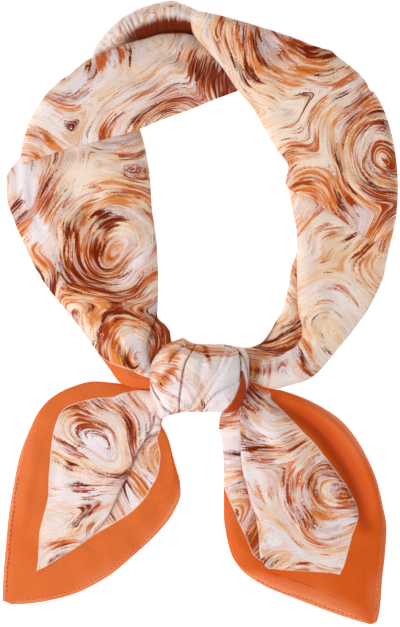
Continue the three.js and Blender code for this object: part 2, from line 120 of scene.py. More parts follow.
# %% [markdown]
# ## From a grid of points to a piece
#
# Cloth is a grid: one way runs along the band, the other across it. A mesh made from such a grid
# has only quads, and it carries five things for the material: the flat cloth's own coordinates
# as a UV map, so the print follows the silk through every fold; the distance to the hem, so the
# plain border and the hem lie where they were printed and sewn; how densely it is printed; how
# white its ground is; and how much painted shade darkens it: a thin dark line in a crease that is
# pulled shut, and darker places in pockets and under folds.

# %% Grid meshes
BORDER_WIDTH = 20.0  # mm, from the hem to the print
NO_HEM = 99.0  # mm, a distance to the hem that is well inside the print
SILK = 0.4  # drawn thickness in mm; real silk twill is nearer 0.15, too thin to catch the light


def show(name, data):
    """A new object for the data, linked to the scene."""
    made = bpy.data.objects.new(name, data)
    bpy.context.scene.collection.objects.link(made)
    return made


def grid_piece(name, points, flat, hem=NO_HEM, dense=0.0, shade=0.0, cool=0.0, closed=False,
               turned=False):
    """A mesh from a grid of points in mm. `flat` is the cloth's own place in mm, `hem` the distance
    to its hem in mm, `dense` more (above 0) or fewer (below 0) strokes of the print than usual,
    `shade` how much painted shade darkens it, in closed creases, pockets and under folds, and
    `cool` how much whiter its ground is.
    A turned grid runs its columns the other way, so that its faces point outwards. A closed grid
    joins its last column to its first; an open one gets the silk's thickness, half to each side."""
    rows, cols = points.shape[:2]
    parts = [points, flat]
    for values in (hem, dense, shade, cool):
        parts.append(np.broadcast_to(values, (rows, cols)))
    if turned:
        parts = [part[:, ::-1] for part in parts]
    corners = (parts[0] * MM).reshape(-1, 3)
    i = np.arange(rows - 1)[:, None]
    j = np.arange(cols if closed else cols - 1)[None, :]
    k = (j + 1) % cols
    quads = np.stack([i * cols + j, i * cols + k, (i + 1) * cols + k, (i + 1) * cols + j], -1)
    quads = quads.reshape(-1, 4)
    mesh = bpy.data.meshes.new(name)
    mesh.vertices.add(rows * cols)
    mesh.vertices.foreach_set("co", corners.astype(np.float32).ravel())
    mesh.loops.add(quads.size)
    mesh.loops.foreach_set("vertex_index", quads.astype(np.int32).ravel())
    mesh.polygons.add(len(quads))
    mesh.polygons.foreach_set("loop_start", np.arange(0, quads.size, 4, dtype=np.int32))
    mesh.polygons.foreach_set("use_smooth", np.ones(len(quads), bool))
    mesh.update(calc_edges=True)
    cloth = mesh.uv_layers.new(name="cloth")
    per_corner = (parts[1] * MM).reshape(-1, 2)[quads.ravel()]
    cloth.data.foreach_set("uv", per_corner.astype(np.float32).ravel())
    for key, values in zip(("hem_mm", "dense", "shade", "cool"), parts[2:]):
        values = values.astype(np.float32).ravel()
        mesh.attributes.new(key, "FLOAT", "POINT").data.foreach_set("value", values)
    mesh.validate()
    piece = show(name, mesh)
    if not closed:
        wall = piece.modifiers.new("silk", "SOLIDIFY")
        wall.thickness, wall.offset = SILK * MM, 0
    a, b, c, d = (corners[quads[:, k]] for k in range(4))
    area = np.linalg.norm(np.cross(c - a, d - b), axis=1).sum() / 2
    print(name, "has", len(quads), "quads and", round(float(area), 6), "square metres")
    return piece


# %% [markdown]
# ## Folds, laps and ripples
#
# On the real silk a pressed pleat is a lap: the surface jumps up on one side of a line and eases
# back down. A pull or a gather is a soft ridge. Both could be sculpted, but as lines with a
# height they stay easy to move. Under them lies a faint ripple, because no silk lies quite flat.

# %% Lines pressed into cloth


def line_offset(plan, line):
    """Signed distance of plan points from a curved line, positive on its right when walking along
    it, and how far along the line they are, from 0 to 1."""
    line = np.array(line, float)
    at = distances(line[:, None])
    line = along_rows(line, at, np.linspace(0, at[-1], 4 * len(line)))
    start, way = line[:-1], np.diff(line, axis=0)
    length = np.linalg.norm(way, axis=1)
    out = plan[..., None, :] - start
    t = np.clip((out * way).sum(-1) / length**2, 0, 1)
    gap = np.linalg.norm(out - t[..., None] * way, axis=-1)
    best = gap.argmin(-1)[..., None]
    right = np.sign(way[:, 1] * out[..., 0] - way[:, 0] * out[..., 1])
    share = (np.concatenate([[0], np.cumsum(length)[:-1]]) + t * length) / length.sum()
    pick = [np.take_along_axis(values, best, -1)[..., 0] for values in (gap, right, share)]
    return pick[0] * pick[1], pick[2]


def pressed(plan, lines):
    """Height of all lines at plan points. A ridge (reach 0) is a bell of the given width across its
    line; a lap jumps up on the right of its line within the width and fades over its reach."""
    height = np.zeros(plan.shape[:-1])
    for high, width, reach, line in lines:
        off, share = line_offset(plan, line)
        taper = np.sin(np.pi * np.clip(share, 0, 1)) ** 0.6
        if reach:
            shape = 1 / (1 + np.exp(np.clip(-4 * off / width, -40, 40)))
            shape = shape * np.exp(-np.clip(off, 0, None) / reach)
        else:
            shape = np.exp(-((off / width) ** 2))
        height += high * taper * shape
    return height


def near_lines(plan, spots):
    """Sum of soft bands round lines: each has its amount, its half width in mm and its line."""
    total = np.zeros(plan.shape[:-1])
    for amount, wide, line in spots:
        total += amount * np.exp(-((line_offset(plan, line)[0] / wide) ** 2))
    return total


def ripple(flat, size, seed):
    """A soft unevenness from -1 to 1: six sine waves in fixed random directions, about `size` mm
    long, added up."""
    random = np.random.default_rng(seed)
    turn, phase = random.uniform(0, 2 * np.pi, (2, 6))
    wave = 2 * np.pi / (size * random.uniform(0.7, 1.5, 6))
    way = np.stack([np.cos(turn), np.sin(turn)]) * wave
    return np.sin(flat @ way + phase).sum(-1) / 3


print("a point 3 mm right of a line:", line_offset(np.array([3.0, 5.0]), [(0, 0), (0, 10)]))

# %% [markdown]
# ## The neck band's measurements
#
# The band is the square folded on the bias, so it has one folded edge (e1) and one open edge
# (e2). It is measured from the knot up the left side, over the left fold, across the top, over
# the top fold, down the right side, over the right fold and back to the knot. b1 and b2 say how
# high its underside lies, because it crosses itself at the folds.

# %% Tables of the band
BAND = "e1x e1y e2x e2y b1 b2 bow lip"
LEFT_STRETCH = table(BAND, [
    [-24, -48, -5, -38, 4.5, 4.5, 0, 5],
    [-40.5, -47, -19, -32, 4, 4.5, 0, 13.5],
    [-49, -44.5, -30, -33.5, 3.5, 4, 0, 17.4],
    [-58, -33.5, -33.5, -21, 2, 2.5, 0, 16.6],
    [-65, -24, -31.5, -12, 1, 1.5, 0, 10.8],
    [-73, -13, -27.5, -1.5, 0, 0.5, 0, 0.4],
    [-82, -1, -26.5, 9.5, 0, 0, 0, 0],
    [-92, 11, -26.5, 22.5, 0, 0, 0, 0],
    [-102, 25.5, -27, 37.5, 0, 0, 0, 0],
    [-110, 42, -28.5, 52, 0, 0, 0, 0],
    [-117, 58.5, -30.5, 67, 0, 0, 0, 0],
    [-121.5, 73, -31.5, 83, 0, 0, 0, 0],
    [-121.8, 84, -33.5, 98, 0, 0, 0, 0],
    [-119, 90.5, -38.5, 116.5, 0, 0, 0, 0],
    [-116, 94, -54, 136, 0, 0, 3, 0],
    [-113, 97, -70, 148, 0, 0, 6, 0],
])
LEFT_FOLD = dict(e1x=-114, e1y=96, e2x=-78, e2y=154, bow=7.5)
UPPER_LEFT_STRETCH = table(BAND, [
    [-106, 95.5, -72, 157.5, 8.4, 8.4, 6, 0],
    [-96, 98.5, -65, 161, 8.4, 8.4, 3, 0],
    [-84, 102.5, -59, 163.5, 8.4, 8.4, 1, 0],
    [-70.5, 106, -51.5, 166.5, 8.4, 8, 0, 0],
    [-55.5, 110, -43.5, 169.5, 8.4, 6.5, 0, 0],
    [-38.5, 115, -34, 172, 8.4, 5, 0, 0],
    [-22, 122, -23.5, 175, 6, 4, 0, 0],
    [-6.5, 127.5, -11.5, 175.5, 3.6, 3, 0, 0],
    [9, 134, 0, 173.5, 2.6, 2.6, 0, 0],
    [23.5, 139.5, 4, 174.5, 2.2, 2.4, 0, 0],
    [39, 146.5, 7, 175.5, 2, 2.2, 0, 0],
    [55, 153, 10, 176.5, 2, 2, 0, 0],
    [70, 159.5, 13, 177.5, 2, 2, 0, 0],
])
TOP_FOLD = dict(e1x=74.5, e1y=167.5, e2x=-6.5, e2y=192, bow=-0.5)
UPPER_RIGHT_STRETCH = table(BAND, [
    [81, 164, -6.5, 184, 10.4, 10.8, 0, 0],
    [85, 161, -4.5, 175.5, 10.2, 10.8, 0, 0],
    [89, 158, 4, 165, 9.8, 10.8, 0, 0],
    [92.5, 155.5, 14, 153.5, 9.4, 10.8, 0, 0],
    [95.5, 153, 23.5, 139.5, 9, 10.4, 0, 0],
    [98, 151, 32, 130, 8.8, 8, 0, 0],
    [99.5, 149.5, 40.5, 115.5, 8.6, 5, 0, 0],
    [101, 148, 48.5, 102, 8.4, 5, 0, 0],
    [102, 147, 55.5, 91, 8.4, 7.5, 0, 0],
    [102.5, 146.5, 53.5, 81, 8.4, 8.4, 1, 0],
    [103, 146, 68, 71, 8.4, 8.4, 2, 0],
    [103.5, 145, 85, 61, 8.4, 8.4, 4, 0],
    [104, 144, 102, 48.5, 8.4, 8.4, 6, 0],
    [104.5, 143, 112, 42.5, 8.4, 8.4, 7, 0],
])
RIGHT_FOLD = dict(e1x=111.5, e1y=139, e2x=119, e2y=38, bow=8.5)
RIGHT_STRETCH = table(BAND, [
    [104, 132, 116.5, 30.5, 0, 0, 6.5, 0],
    [88, 115, 116, 25.5, 0, 0, 4, 0],
    [72, 97.5, 113.5, 18, 0, 0, 2, 0],
    [56, 78.5, 109.5, 9.5, 0, 0, 0, 0],
    [58.5, 64, 105, 1, 1.2, 0, 0, 0],
    [61, 49, 99.5, -6.5, 2.6, 0, 0, 0],
    [61, 34.5, 94, -14, 3.2, 0.4, 0, 0],
    [61, 19.5, 87.5, -21.5, 3.2, 0.8, 0, 0],
    [61.5, 3.5, 82, -28.5, 3.2, 1.2, 0, 0],
    [64.5, -11, 75.5, -36, 3.2, 1.8, 0, 0],
    [60.5, -21, 67, -42.5, 3.4, 2.6, 0, 0],
    [51, -26, 56.5, -45.5, 3.4, 3.2, 0, 0],
    [43, -29, 48, -47.5, 4, 4, 0, 0],
    [34.5, -29.5, 39.5, -46, 4.5, 4.5, 0, 0],
    [27, -28, 31.5, -42.5, 4.5, 4.5, 0, 0],
    [14, -27, 16, -41, 4.5, 4.5, 0, 0],
])
STRETCHES = [LEFT_STRETCH, UPPER_LEFT_STRETCH, UPPER_RIGHT_STRETCH, RIGHT_STRETCH]
ROLLS = [0, 180, 0, -180]  # which leaf is on top: 0 has leaf a below, 180 has it above
# Each fold, which way it bulges, and whether leaf a is the inner one there
TURNS = [(LEFT_FOLD, 1, False), (TOP_FOLD, -1, True), (RIGHT_FOLD, 1, True)]
print(sum(len(stretch["e1x"]) for stretch in STRETCHES), "rows of the band")

# %% [markdown]
# ## Turning the band over
#
# At a fold the whole band makes a half turn, as a ribbon does when it is folded over a ruler.
# The rows there run over an arc: outwards by the sine of the angle, and up or down by its
# cosine. Between the folds they lie flat. One row keeps both edges, the sideways bow, the roll,
# the slipped lower leaf (lip) and the number of the stretch it belongs to.

# %% Rows of the whole band
LOFT = 7.4  # middle of the lower leaf to the middle of the upper one, in mm
TURN_ANGLES = np.arange(20, 161, 20)


def flat_rows(stretch, roll, number):
    """Rows of one stretch as the mid-line of leaf a, which lies one loft higher when it is on top."""
    lift = SILK / 2 + LOFT * (1 - np.cos(np.radians(roll))) / 2
    same = np.ones_like(stretch["e1x"])
    return np.stack([
        stretch["e1x"], stretch["e1y"], stretch["b1"] + lift,
        stretch["e2x"], stretch["e2y"], stretch["b2"] + lift,
        stretch["bow"], stretch["lip"], roll * same, number * same,
    ], 1)


def half_turn(before, after, fold, outward, leaf_inside):
    """Rows over a fold line: the plan moves out to the line by the sine of the turned angle, and
    the height goes from the one side to the other by its cosine."""
    angle = np.radians(TURN_ANGLES)[:, None]
    way = unit(np.array([fold["e2x"] - fold["e1x"], fold["e2y"] - fold["e1y"]]))
    inset = outward * (SILK / 2 + (LOFT if leaf_inside else 0))
    sx, sy = -way[1] * inset, way[0] * inset
    line = [fold["e1x"] - sx, fold["e1y"] - sy, fold["e2x"] - sx, fold["e2y"] - sy, fold["bow"]]
    rows = np.where(angle < np.pi / 2, before, after)
    plan = [0, 1, 3, 4, 6]
    rows[:, plan] += (np.array(line) - rows[:, plan]) * np.sin(angle)
    for k in (2, 5):
        rows[:, k] = ((before[k] + after[k]) + (before[k] - after[k]) * np.cos(angle[:, 0])) / 2
    for k in (8, 9):
        rows[:, k] = before[k] + (after[k] - before[k]) * TURN_ANGLES / 180
    return rows


flats = [flat_rows(s, roll, k) for k, (s, roll) in enumerate(zip(STRETCHES, ROLLS))]
coarse = [flats[0]]
for k, (fold, outward, leaf_inside) in enumerate(TURNS):
    coarse += [half_turn(flats[k][-1], flats[k + 1][0], fold, outward, leaf_inside), flats[k + 1]]
coarse = np.concatenate(coarse)
band_at = distances(coarse[:, :6].reshape(-1, 2, 3))
where = steps(band_at, 1.9, 2)
band = along_rows(coarse, band_at, where)
band[:, 8:] = np.stack([np.interp(where, band_at, coarse[:, k]) for k in (8, 9)], 1)
print(len(band), "fine rows over", round(band_at[-1]), "mm")

# %% [markdown]
# ## The band's section
#
# Cut across, the band is a flat loop: leaf a from the open edge to the folded one, a small bend
# there, and leaf b back. The layers inside pad it, so it is thin at both edges and swells to its
# full loft towards the middle. The share that each leaf moves depends on the roll, which keeps
# whichever leaf is underneath flat on the table.

# %% Points of the band
BEND = 1.1  # radius of the folded edge, mm
OPEN_SHARE = 0.16  # how much of the loft is left at the open edge
SWELL = 7.5  # mm from an edge over which the band swells to two thirds
BEND_SHARE = 0.06  # share of the columns spent on each half of the bend
BAND_COLUMNS = 85
LIP_RISE = 0.55  # share of the loft by which the slipped leaf's free edge turns up

# Along a row q runs from the open edge of leaf a (0) round the folded edge (0.5) to the open edge
# of leaf b (1). Theta turns through the bend and u is the share of the way across a leaf
q = np.linspace(0, 1, BAND_COLUMNS)[None, :]
theta = np.clip((q - 0.5) / BEND_SHARE, -1, 1) * np.pi / 2
u = np.clip((abs(q - 0.5) - BEND_SHARE) / (0.5 - BEND_SHARE), 0, 1)
u = 0.55 * u + 0.45 * (1 - np.cos(np.pi * u)) / 2
x1, y1, z1, x2, y2, z2, bow, lip, roll, number = (band[:, k : k + 1] for k in range(10))
roll = np.radians(roll)
one, two = np.stack([x1, y1, z1], -1), np.stack([x2, y2, z2], -1)
width = np.linalg.norm(two - one, axis=-1)
leaf_a = q < 0.5
reach = width + lip * leaf_a
across = BEND * (1 - np.cos(theta)) + (reach - BEND) * u

# How far the loop is open, how high in it each leaf lies, and the rise of the slipped leaf
swell = np.minimum(SWELL, width / 4)
bend_share = 2 * BEND / LOFT
full = 1 - (1 - bend_share) * np.exp(-np.clip(across - BEND, 0, None) / swell)
full *= 1 - (1 - OPEN_SHARE) * np.exp(-np.clip(width - across, 0, None) / swell)
turned = (1 - np.cos(roll)) / 2
level = (1 - full) * turned + full / 2 * (1 + np.sin(theta))
slipped = np.clip(across - width, 0, None) / np.maximum(lip, 1)
level += leaf_a * LIP_RISE * slipped**2

# Outwards from the line between the edges, for the bow, and upwards, which turns with the roll
side = unit(together(y1 - y2, x2 - x1, 0))
up = together(0, 0, np.cos(roll)) - side * np.sin(roll)[..., None]
share = np.minimum(across / width, 1)[..., None]
points = one + (two - one) * (across / width)[..., None] + up * (level * LOFT)[..., None]
points += side * (bow[..., None] * 4 * share * (1 - share))
on_top = (1 + np.sin(theta) * np.cos(roll)) / 2
print("band grid", points.shape[:2], "widest", round(float(width.max())), "mm")

# %% [markdown]
# ## The print runs on through the folds
#
# Flat folding doesn't stretch cloth, so a point's place on the flat square is its place from
# above, mirrored in each fold line that lies between it and the start. That one idea gives the
# whole band print coordinates without any distortion, and the pattern breaks at the folds as it
# does on real folded silk.

# %% Unfold the band


def mirrored(plan, fold):
    """Plan points mirrored in the line through the two ends of a fold."""
    start = np.array([fold["e1x"], fold["e1y"]])
    way = unit(np.array([fold["e2x"], fold["e2y"]]) - start)
    out = plan - start
    return start + 2 * (out @ way)[..., None] * way - out


flat = points[..., :2].copy()
for k in (2, 1, 0):
    later = np.round(number[:, 0]) > k
    flat[later] = mirrored(flat[later], TURNS[k][0])
print("the unfolded band spans", np.ptp(flat.reshape(-1, 2), axis=0).round(), "mm")

# %% [markdown]
# ## Pulls in the band
#
# The tied silk is pulled towards the knot and round the folds. The lines below are the pulls
# that show, for each of the four stretches, and a row of long gathers runs into the knot.

# %% Press the band's lines
# For each stretch its lines, each with height, width, reach and points in mm
BAND_LINES = [
    [
        (2.4, 1.4, 9, [(-31.5, -43.7), (-35.9, -39.9), (-41.6, -32.3), (-45.4, -25.4),
                       (-49.1, -17.2), (-55.4, -9.6), (-60, 4)]),
        (-1.4, 1.6, 0, [(-57, -12), (-50.5, -19), (-46.5, -27), (-42.6, -34), (-36, -42)]),
        (-0.9, 3, 0, [(-78, 30), (-66, 6), (-58, -10)]),
        (-1.0, 3, 0, [(-80, 4), (-68, -14), (-52, -32), (-42, -40)]),
        (0.9, 3, 0, [(-36, 20), (-37, 0), (-34, -16), (-30, -30)]),
        (0.8, 4, 0, [(-95, 70), (-70, 40), (-52, 5)]),
        (-0.8, 5, 0, [(-40, 90), (-52, 60), (-50, 20)]),
        (-1.7, 1.6, 0, [(-113, 100), (-115, 88), (-115, 76), (-111, 60)]),
        (1.6, 1.8, 0, [(-109, 98), (-110, 86), (-110, 72), (-104, 50)]),
        (-1.4, 1.8, 0, [(-104, 98), (-105, 84), (-105, 70), (-98, 46)]),
        (1.2, 2.2, 0, [(-98, 98), (-99, 82), (-98, 66), (-90, 44)]),
    ],
    [
        (-1.1, 5, 0, [(-110, 100), (-80, 125), (-50, 132)]),
        (1.0, 5, 0, [(-60, 150), (-30, 158), (0, 150)]),
        (-1.6, 4, 0, [(-25, 165), (0, 152), (22, 142)]),
        (-1.0, 4, 0, [(-75, 112), (-45, 122), (-10, 138)]),
    ],
    [
        (-1.4, 4, 0, [(2, 178), (22, 158), (30, 140), (26, 131)]),
        (1.1, 4, 0, [(15, 180), (36, 160), (42, 135), (36, 118)]),
        (-1.0, 4, 0, [(30, 182), (52, 158), (55, 130)]),
        (1.0, 5, 0, [(50, 95), (75, 110), (100, 120)]),
        (-1.2, 4, 0, [(54, 84), (78, 92), (108, 96)]),
        (-0.9, 5, 0, [(58, 120), (80, 138), (98, 140)]),
    ],
    [
        (1.1, 4, 0, [(68, -8), (82, 8), (104, 18)]),
        (-1.2, 4, 0, [(50, -34), (66, -22), (80, -2), (90, 20)]),
        (-0.8, 4, 0, [(66, 60), (74, 30), (68, 2)]),
        (1.0, 3, 0, [(30, -36), (52, -38), (76, -22)]),
    ],
]
# Long gathers where the knot draws the band together: how many lie across it, how high they
# are in mm, and over how many mm they fade away from the knot, on the left and on the right
GATHERS = 3.5
GATHER_HEIGHTS, GATHER_FADES = (0.7, 1.1), (22, 26)

plan = points[..., :2]
weights = [np.clip(1 - abs(number - k) * 2, 0, 1) for k in range(4)]
for weight, lines in zip(weights, BAND_LINES):
    points[..., 2] += weight * on_top * pressed(plan, lines)
from_knot = np.stack([where, where[-1] - where], 1)[:, None, :]
ends = (np.exp(-from_knot / GATHER_FADES) * GATHER_HEIGHTS).sum(-1)
share = share[..., 0]
gather = np.sin(2 * np.pi * GATHERS * share + 0.8)
gather += 0.55 * np.sin(2 * np.pi * 8.5 * share + 2 * np.sin(where[:, None] / 13))
calm = np.clip(np.sin(np.pi * share), 0, 1) ** 0.5
uneven = 0.8 * ripple(flat, 34, 3) + 0.3 * ripple(flat, 12, 4)
points[..., 2] += on_top * calm * (gather * ends + uneven)
points[..., 2] = np.maximum(points[..., 2], SILK / 2)
print("the band is up to", round(float(points[..., 2].max()), 1), "mm high")

# %% [markdown]
# ## Where the band is printed more densely or painted in shade, and its strip of border
#
# Each stretch shows another part of the square, fuller or barer, warmer or whiter, and three get
# painted shade: a shadow under the upper left stretch's edge, a dark corner beside the upper right
# stretch and a line along the knot's right side. The slipped lower leaf shows a dark part of the
# print under painted shade that grows darker at its rim, and the turned flap above it a pale one.
# Along the band's outer edge, just before the knot, the plain border comes into view, because there
# the hem lies on the outside of the fold.

# %% Band mesh
# For each stretch: how dense its print is, how cool, where it is denser, where it is barer and
# whiter, and where it gets painted shade, in a crease, a corner or under an edge
BAND_PRINT = [
    (0, -0.2,
     [(0.7, 22, [(-92, 60), (-84, 30), (-72, 0), (-56, -24)]),
      (1.0, 5, [(-60, 0), (-57, -14), (-50, -26), (-40, -38)])],
     [(-3.2, 5, [(-112, 96), (-109, 78), (-103, 58), (-97, 44)]),
      (-2.6, 5, [(-31, -37), (-37.8, -27.3), (-41.6, -19.1), (-47.9, -11.5)])],
     # painted shadow under the edge of the upper left stretch, which lies over this one
     [(0.3, 4, [(-92, 95), (-70, 101), (-52, 107), (-38, 111)])]),
    # The upper left stretch: denser print and painted shade in its corner beside the next stretch's
    # edge
    (0, 0.5, [(4.5, 8, [(-4, 158), (8, 148), (20, 140)])], [],
     [(0.95, 4.5, [(4, 153), (13, 146), (22, 139)])]),
    (0.6, -0.4, [], [], []),
    (-1.5, -0.2, [(2.0, 3, [(34, -36), (42, -37), (52, -32)])], [],
     # painted shade along the knot's right side
     [(0.7, 0.9, [(30.5, -28), (31.6, -36), (31.2, -45)])]),
]
# Denser print and painted shade on the slipped lower leaf, and more painted shade at its rim
LIP_DENSE, LIP_SHADE, RIM_SHADE = 1.5, 0.3, 0.7  # on the slipped leaf, and more at its rim
lipped = weights[0] * np.clip(slipped * 8, 0, 1) * (y2 < 0)
rim = np.clip((3.6 - (reach - across)) / 1.2, 0, 1)
dense, cool = LIP_DENSE * lipped, 0
shade = (LIP_SHADE + RIM_SHADE * rim) * lipped * leaf_a
for weight, (fuller, white, denser, barer, dark) in zip(weights, BAND_PRINT):
    dense = dense + weight * (fuller + near_lines(plan, denser + barer))
    cool = cool + weight * (white - near_lines(plan, barer))
    shade = shade + weight * near_lines(plan, dark)

# The line where the print ends and the strip of border begins, up to the knot
STRIP = [(-66, -25), (-58.6, -30.6), (-45.4, -35.5), (-32.8, -40.5), (-24, -43.5)]
past = line_offset(plan, STRIP)[0]
strip = (weights[0] > 0.5) & (plan[..., 0] > -66) & (plan[..., 1] < -22)
hem = np.where(strip, BORDER_WIDTH - 1.2 * past, NO_HEM)
shade = np.clip(shade, 0, 1)
neck_band = grid_piece("scarf_neck_band", points, flat, hem, dense, shade, cool, turned=True)

# %% [markdown]
# ## A section carried along two edges
#
# The two small portions are made alike. A table gives an outer and an inner edge from above, and a
# section gives how far across and how high a few points lie. Carrying the section along the edges
# and stretching it between them makes the surface, as a tailor's form is covered strip by strip.

# %% Sweep


def swept(edges, step, section, size, columns):
    """Carries a section between the two edges in a table's first four columns: from above a point
    is the outer edge plus its share of the way to the inner one. Returns the distance along, the
    table's other columns, the shares across and up, the points from above and the distance along
    the section, which measures `size` mm across and up."""
    rows = rows_of(edges)
    at = distances(rows[:, :4].reshape(-1, 2, 2))
    along = steps(at, step)
    ox, oy, ix, iy, *others = along_rows(rows, at, along).T[..., None]
    run = distances(section[:, None] * size)
    across, rise = along_rows(section, run, np.linspace(0, run[-1], columns)).T
    plan = together(ox + (ix - ox) * across, oy + (iy - oy) * across)
    return along[:, None], others, across, rise, plan, run[-1]


ribbon = swept(table("ox oy ix iy", [[0, 0, 4, 0], [0, 8, 4, 8]]), 2, np.eye(2), [4, 3], 5)
print("a ribbon 8 mm long in steps of 2 mm has", len(ribbon[0]), "rows")

# %% [markdown]
# ## The roll behind the top of the ring
#
# The back layers of the band bulge out past its upper edge. The roll rises from the table to a
# rounded crest and drops into a pocket beside the band, where short gathers radiate from the
# fold. The pocket and the gathers' valleys are painted in shade. The section gives the rise across
# the roll, and a cosine adds the gathers.

# %% Back fold
BACK_FOLD = table("ox oy ix iy crest gather", [
    [-68, 158, -61, 156.5, 3.2, 0],
    [-66.5, 165, -57, 160, 6, 0],
    [-61.5, 173, -50, 163.5, 9.5, 0.1],
    [-54.5, 180.5, -43, 165.5, 12.5, 0.2],
    [-44.5, 188, -35, 167.5, 14.5, 0.4],
    [-34, 192.5, -27.5, 169.5, 15.5, 0.9],
    [-25, 195, -20.5, 171, 16, 1.3],
    [-17.5, 196, -14.5, 171.5, 16, 1.4],
    [-10.5, 194, -9.5, 171, 15, 1.3],
    [-5, 191.5, -4, 171, 12.5, 0.6],
    [2, 188.5, 2, 171, 9.5, 0],
])
# Shares across from the outer edge and up to the crest
BACK_SECTION = np.array([
    [0.16, 0.0], [0.05, 0.02], [0.0, 0.22], [0.03, 0.5], [0.14, 0.84], [0.3, 1.0],
    [0.46, 0.93], [0.57, 0.66], [0.64, 0.32], [0.7, 0.08], [0.8, 0.0], [1.0, 0.0],
])
GATHER_PITCH = 3.6  # mm from one gather to the next, along the pocket
GATHERED = 4.4  # how much of the cloth the gathers draw into one mm of the roll, for the print


def back_fold_grid():
    """Rows along the roll, each the section stretched from its outer to its inner edge and raised
    to its crest, with cosine gathers that grow towards the pocket. Their valleys and the pocket
    are painted in shade."""
    along, (crest, deep), across, rise, plan, girth = swept(
        BACK_FOLD, 0.7, BACK_SECTION, [24, 14], 60
    )
    inner = np.clip((across - 0.22) / 0.4, 0, 1) ** 1.5 * np.clip(rise * 4, 0, 1)
    turn = along + 1.1 * np.sin(along / 5.1) + 0.7 * np.sin(along / 2.3)
    fan = np.cos(2 * np.pi * turn / GATHER_PITCH + 0.5 * across) * (0.7 + 0.3 * np.sin(along / 3.7))
    z = SILK / 2 + (crest - SILK) * rise + deep * inner * fan + 0.5 * ripple(plan, 24, 8) * rise
    # The gathers take up cloth along the roll, so the print is crowded that way
    flat = together(GATHERED * along, girth * (across + rise * 0.4)) + [300, 80]
    inwards = np.clip((plan[..., 0] + 52) / 14, 0, 1)
    dense = 1.6 * np.clip((across - 0.3) / 0.16, 0, 1) * inwards - 1.8
    # Painted shade in the pocket and the gathers' valleys, and darker lines of it along the valleys
    # on the roll, most round x = -40 mm
    pocket = 1.5 * np.clip((across - 0.36) / 0.2, 0, 1) ** 1.5
    pocket = inwards * (pocket + 0.9 * inner * np.clip(-fan, 0, 1) ** 2)
    valley_shade = np.clip(0.2 - fan, 0, 1) * np.clip(rise * 1.2, 0, 1) * np.clip(across / 0.12, 0, 1)
    valley_shade = 0.9 * valley_shade * np.clip(across / 0.3, 0.3, 1)
    valley_shade = valley_shade * np.clip(0.3 + 0.9 * np.exp(-(((plan[..., 0] + 40) / 7) ** 2)), 0, 1)
    points = raised(plan, np.maximum(z, SILK / 2))
    return points, flat, NO_HEM, dense, np.maximum(pocket, valley_shade)


back_fold = grid_piece("scarf_back_fold", *back_fold_grid(), cool=0.3)

# %% [markdown]
# ## The inner leaf
#
# On the neck side of the right stretch one inner layer slips out. It stands up a little at its
# free edge and runs into the knot. It is a single sheet: its free edge is a soft fold, so the
# section starts underneath, bends round and runs back under the band.

# %% Inner leaf
INNER_LEAF = table("fx fy hx hy lift", [
    [62, 42, 67, 40, 1.5],
    [60.5, 36, 67, 34, 3],
    [58, 29.5, 67, 27.5, 4],
    [55.5, 16, 67.5, 14.5, 5],
    [52.5, 3.5, 68, 0.5, 5.6],
    [48, -5, 70, -12, 6],
    [43.5, -13, 68.5, -22.5, 6.4],
    [38, -19.5, 60, -32, 7],
    [30, -22, 44, -34, 8],
    [18, -21.5, 27, -31, 9],
])
# Shares across from the free edge and up to the lift
LEAF_SECTION = np.array([
    [0.45, 0.0], [0.2, 0.02], [0.04, 0.12], [0.0, 0.38], [0.05, 0.66],
    [0.18, 0.9], [0.34, 1.0], [0.52, 0.86], [0.75, 0.5], [1.0, 0.25],
])
# Painted shade where the band's edge lies over the leaf and in narrow wedges between its folds
LEAF_SHADES = [
    (0.75, 1.4, [(64.3, -16), (57, -21), (51, -24), (47.5, -26.5)]),
    (0.75, 1.3, [(47.6, -6.5), (44.5, -12), (41.2, -18)]),
    (0.5, 0.9, [(40, -24), (46, -21.5), (50, -16), (52, -8)]),
]


def inner_leaf_grid():
    """Rows from the free edge to the hidden one. The section is a bend of small radius at the free
    edge, a crest a third of the way in and a slope that falls away under the band."""
    along, (lift,), across, rise, plan, girth = swept(INNER_LEAF, 1.2, LEAF_SECTION, [12, 6], 44)
    z = SILK / 2 + 0.2 + (lift + 0.35 * ripple(plan, 16, 12)) * rise
    flat = together(along, 1.4 * girth * across) + [80, 300]
    points = raised(plan, np.maximum(z, SILK / 2))
    return points, flat, NO_HEM, 0.4, near_lines(plan, LEAF_SHADES), -0.3


inner_leaf = grid_piece("scarf_inner_leaf", *inner_leaf_grid())

# %% [markdown]
# ## The two corners
#
# Each end is a corner of the square. From the knot it fans out, with one knife pleat that runs
# from the knot towards the tip: the cloth goes to the fold line, turns back under itself and
# turns again, as a pleat is pressed. Near the knot the hems are rolled under. The table gives
# both outlines and the fold from above, their heights, the depth of the pleat, and on each side
# how far the hem is tucked under (el, er) and how fast the distance to it grows (gl, gr).

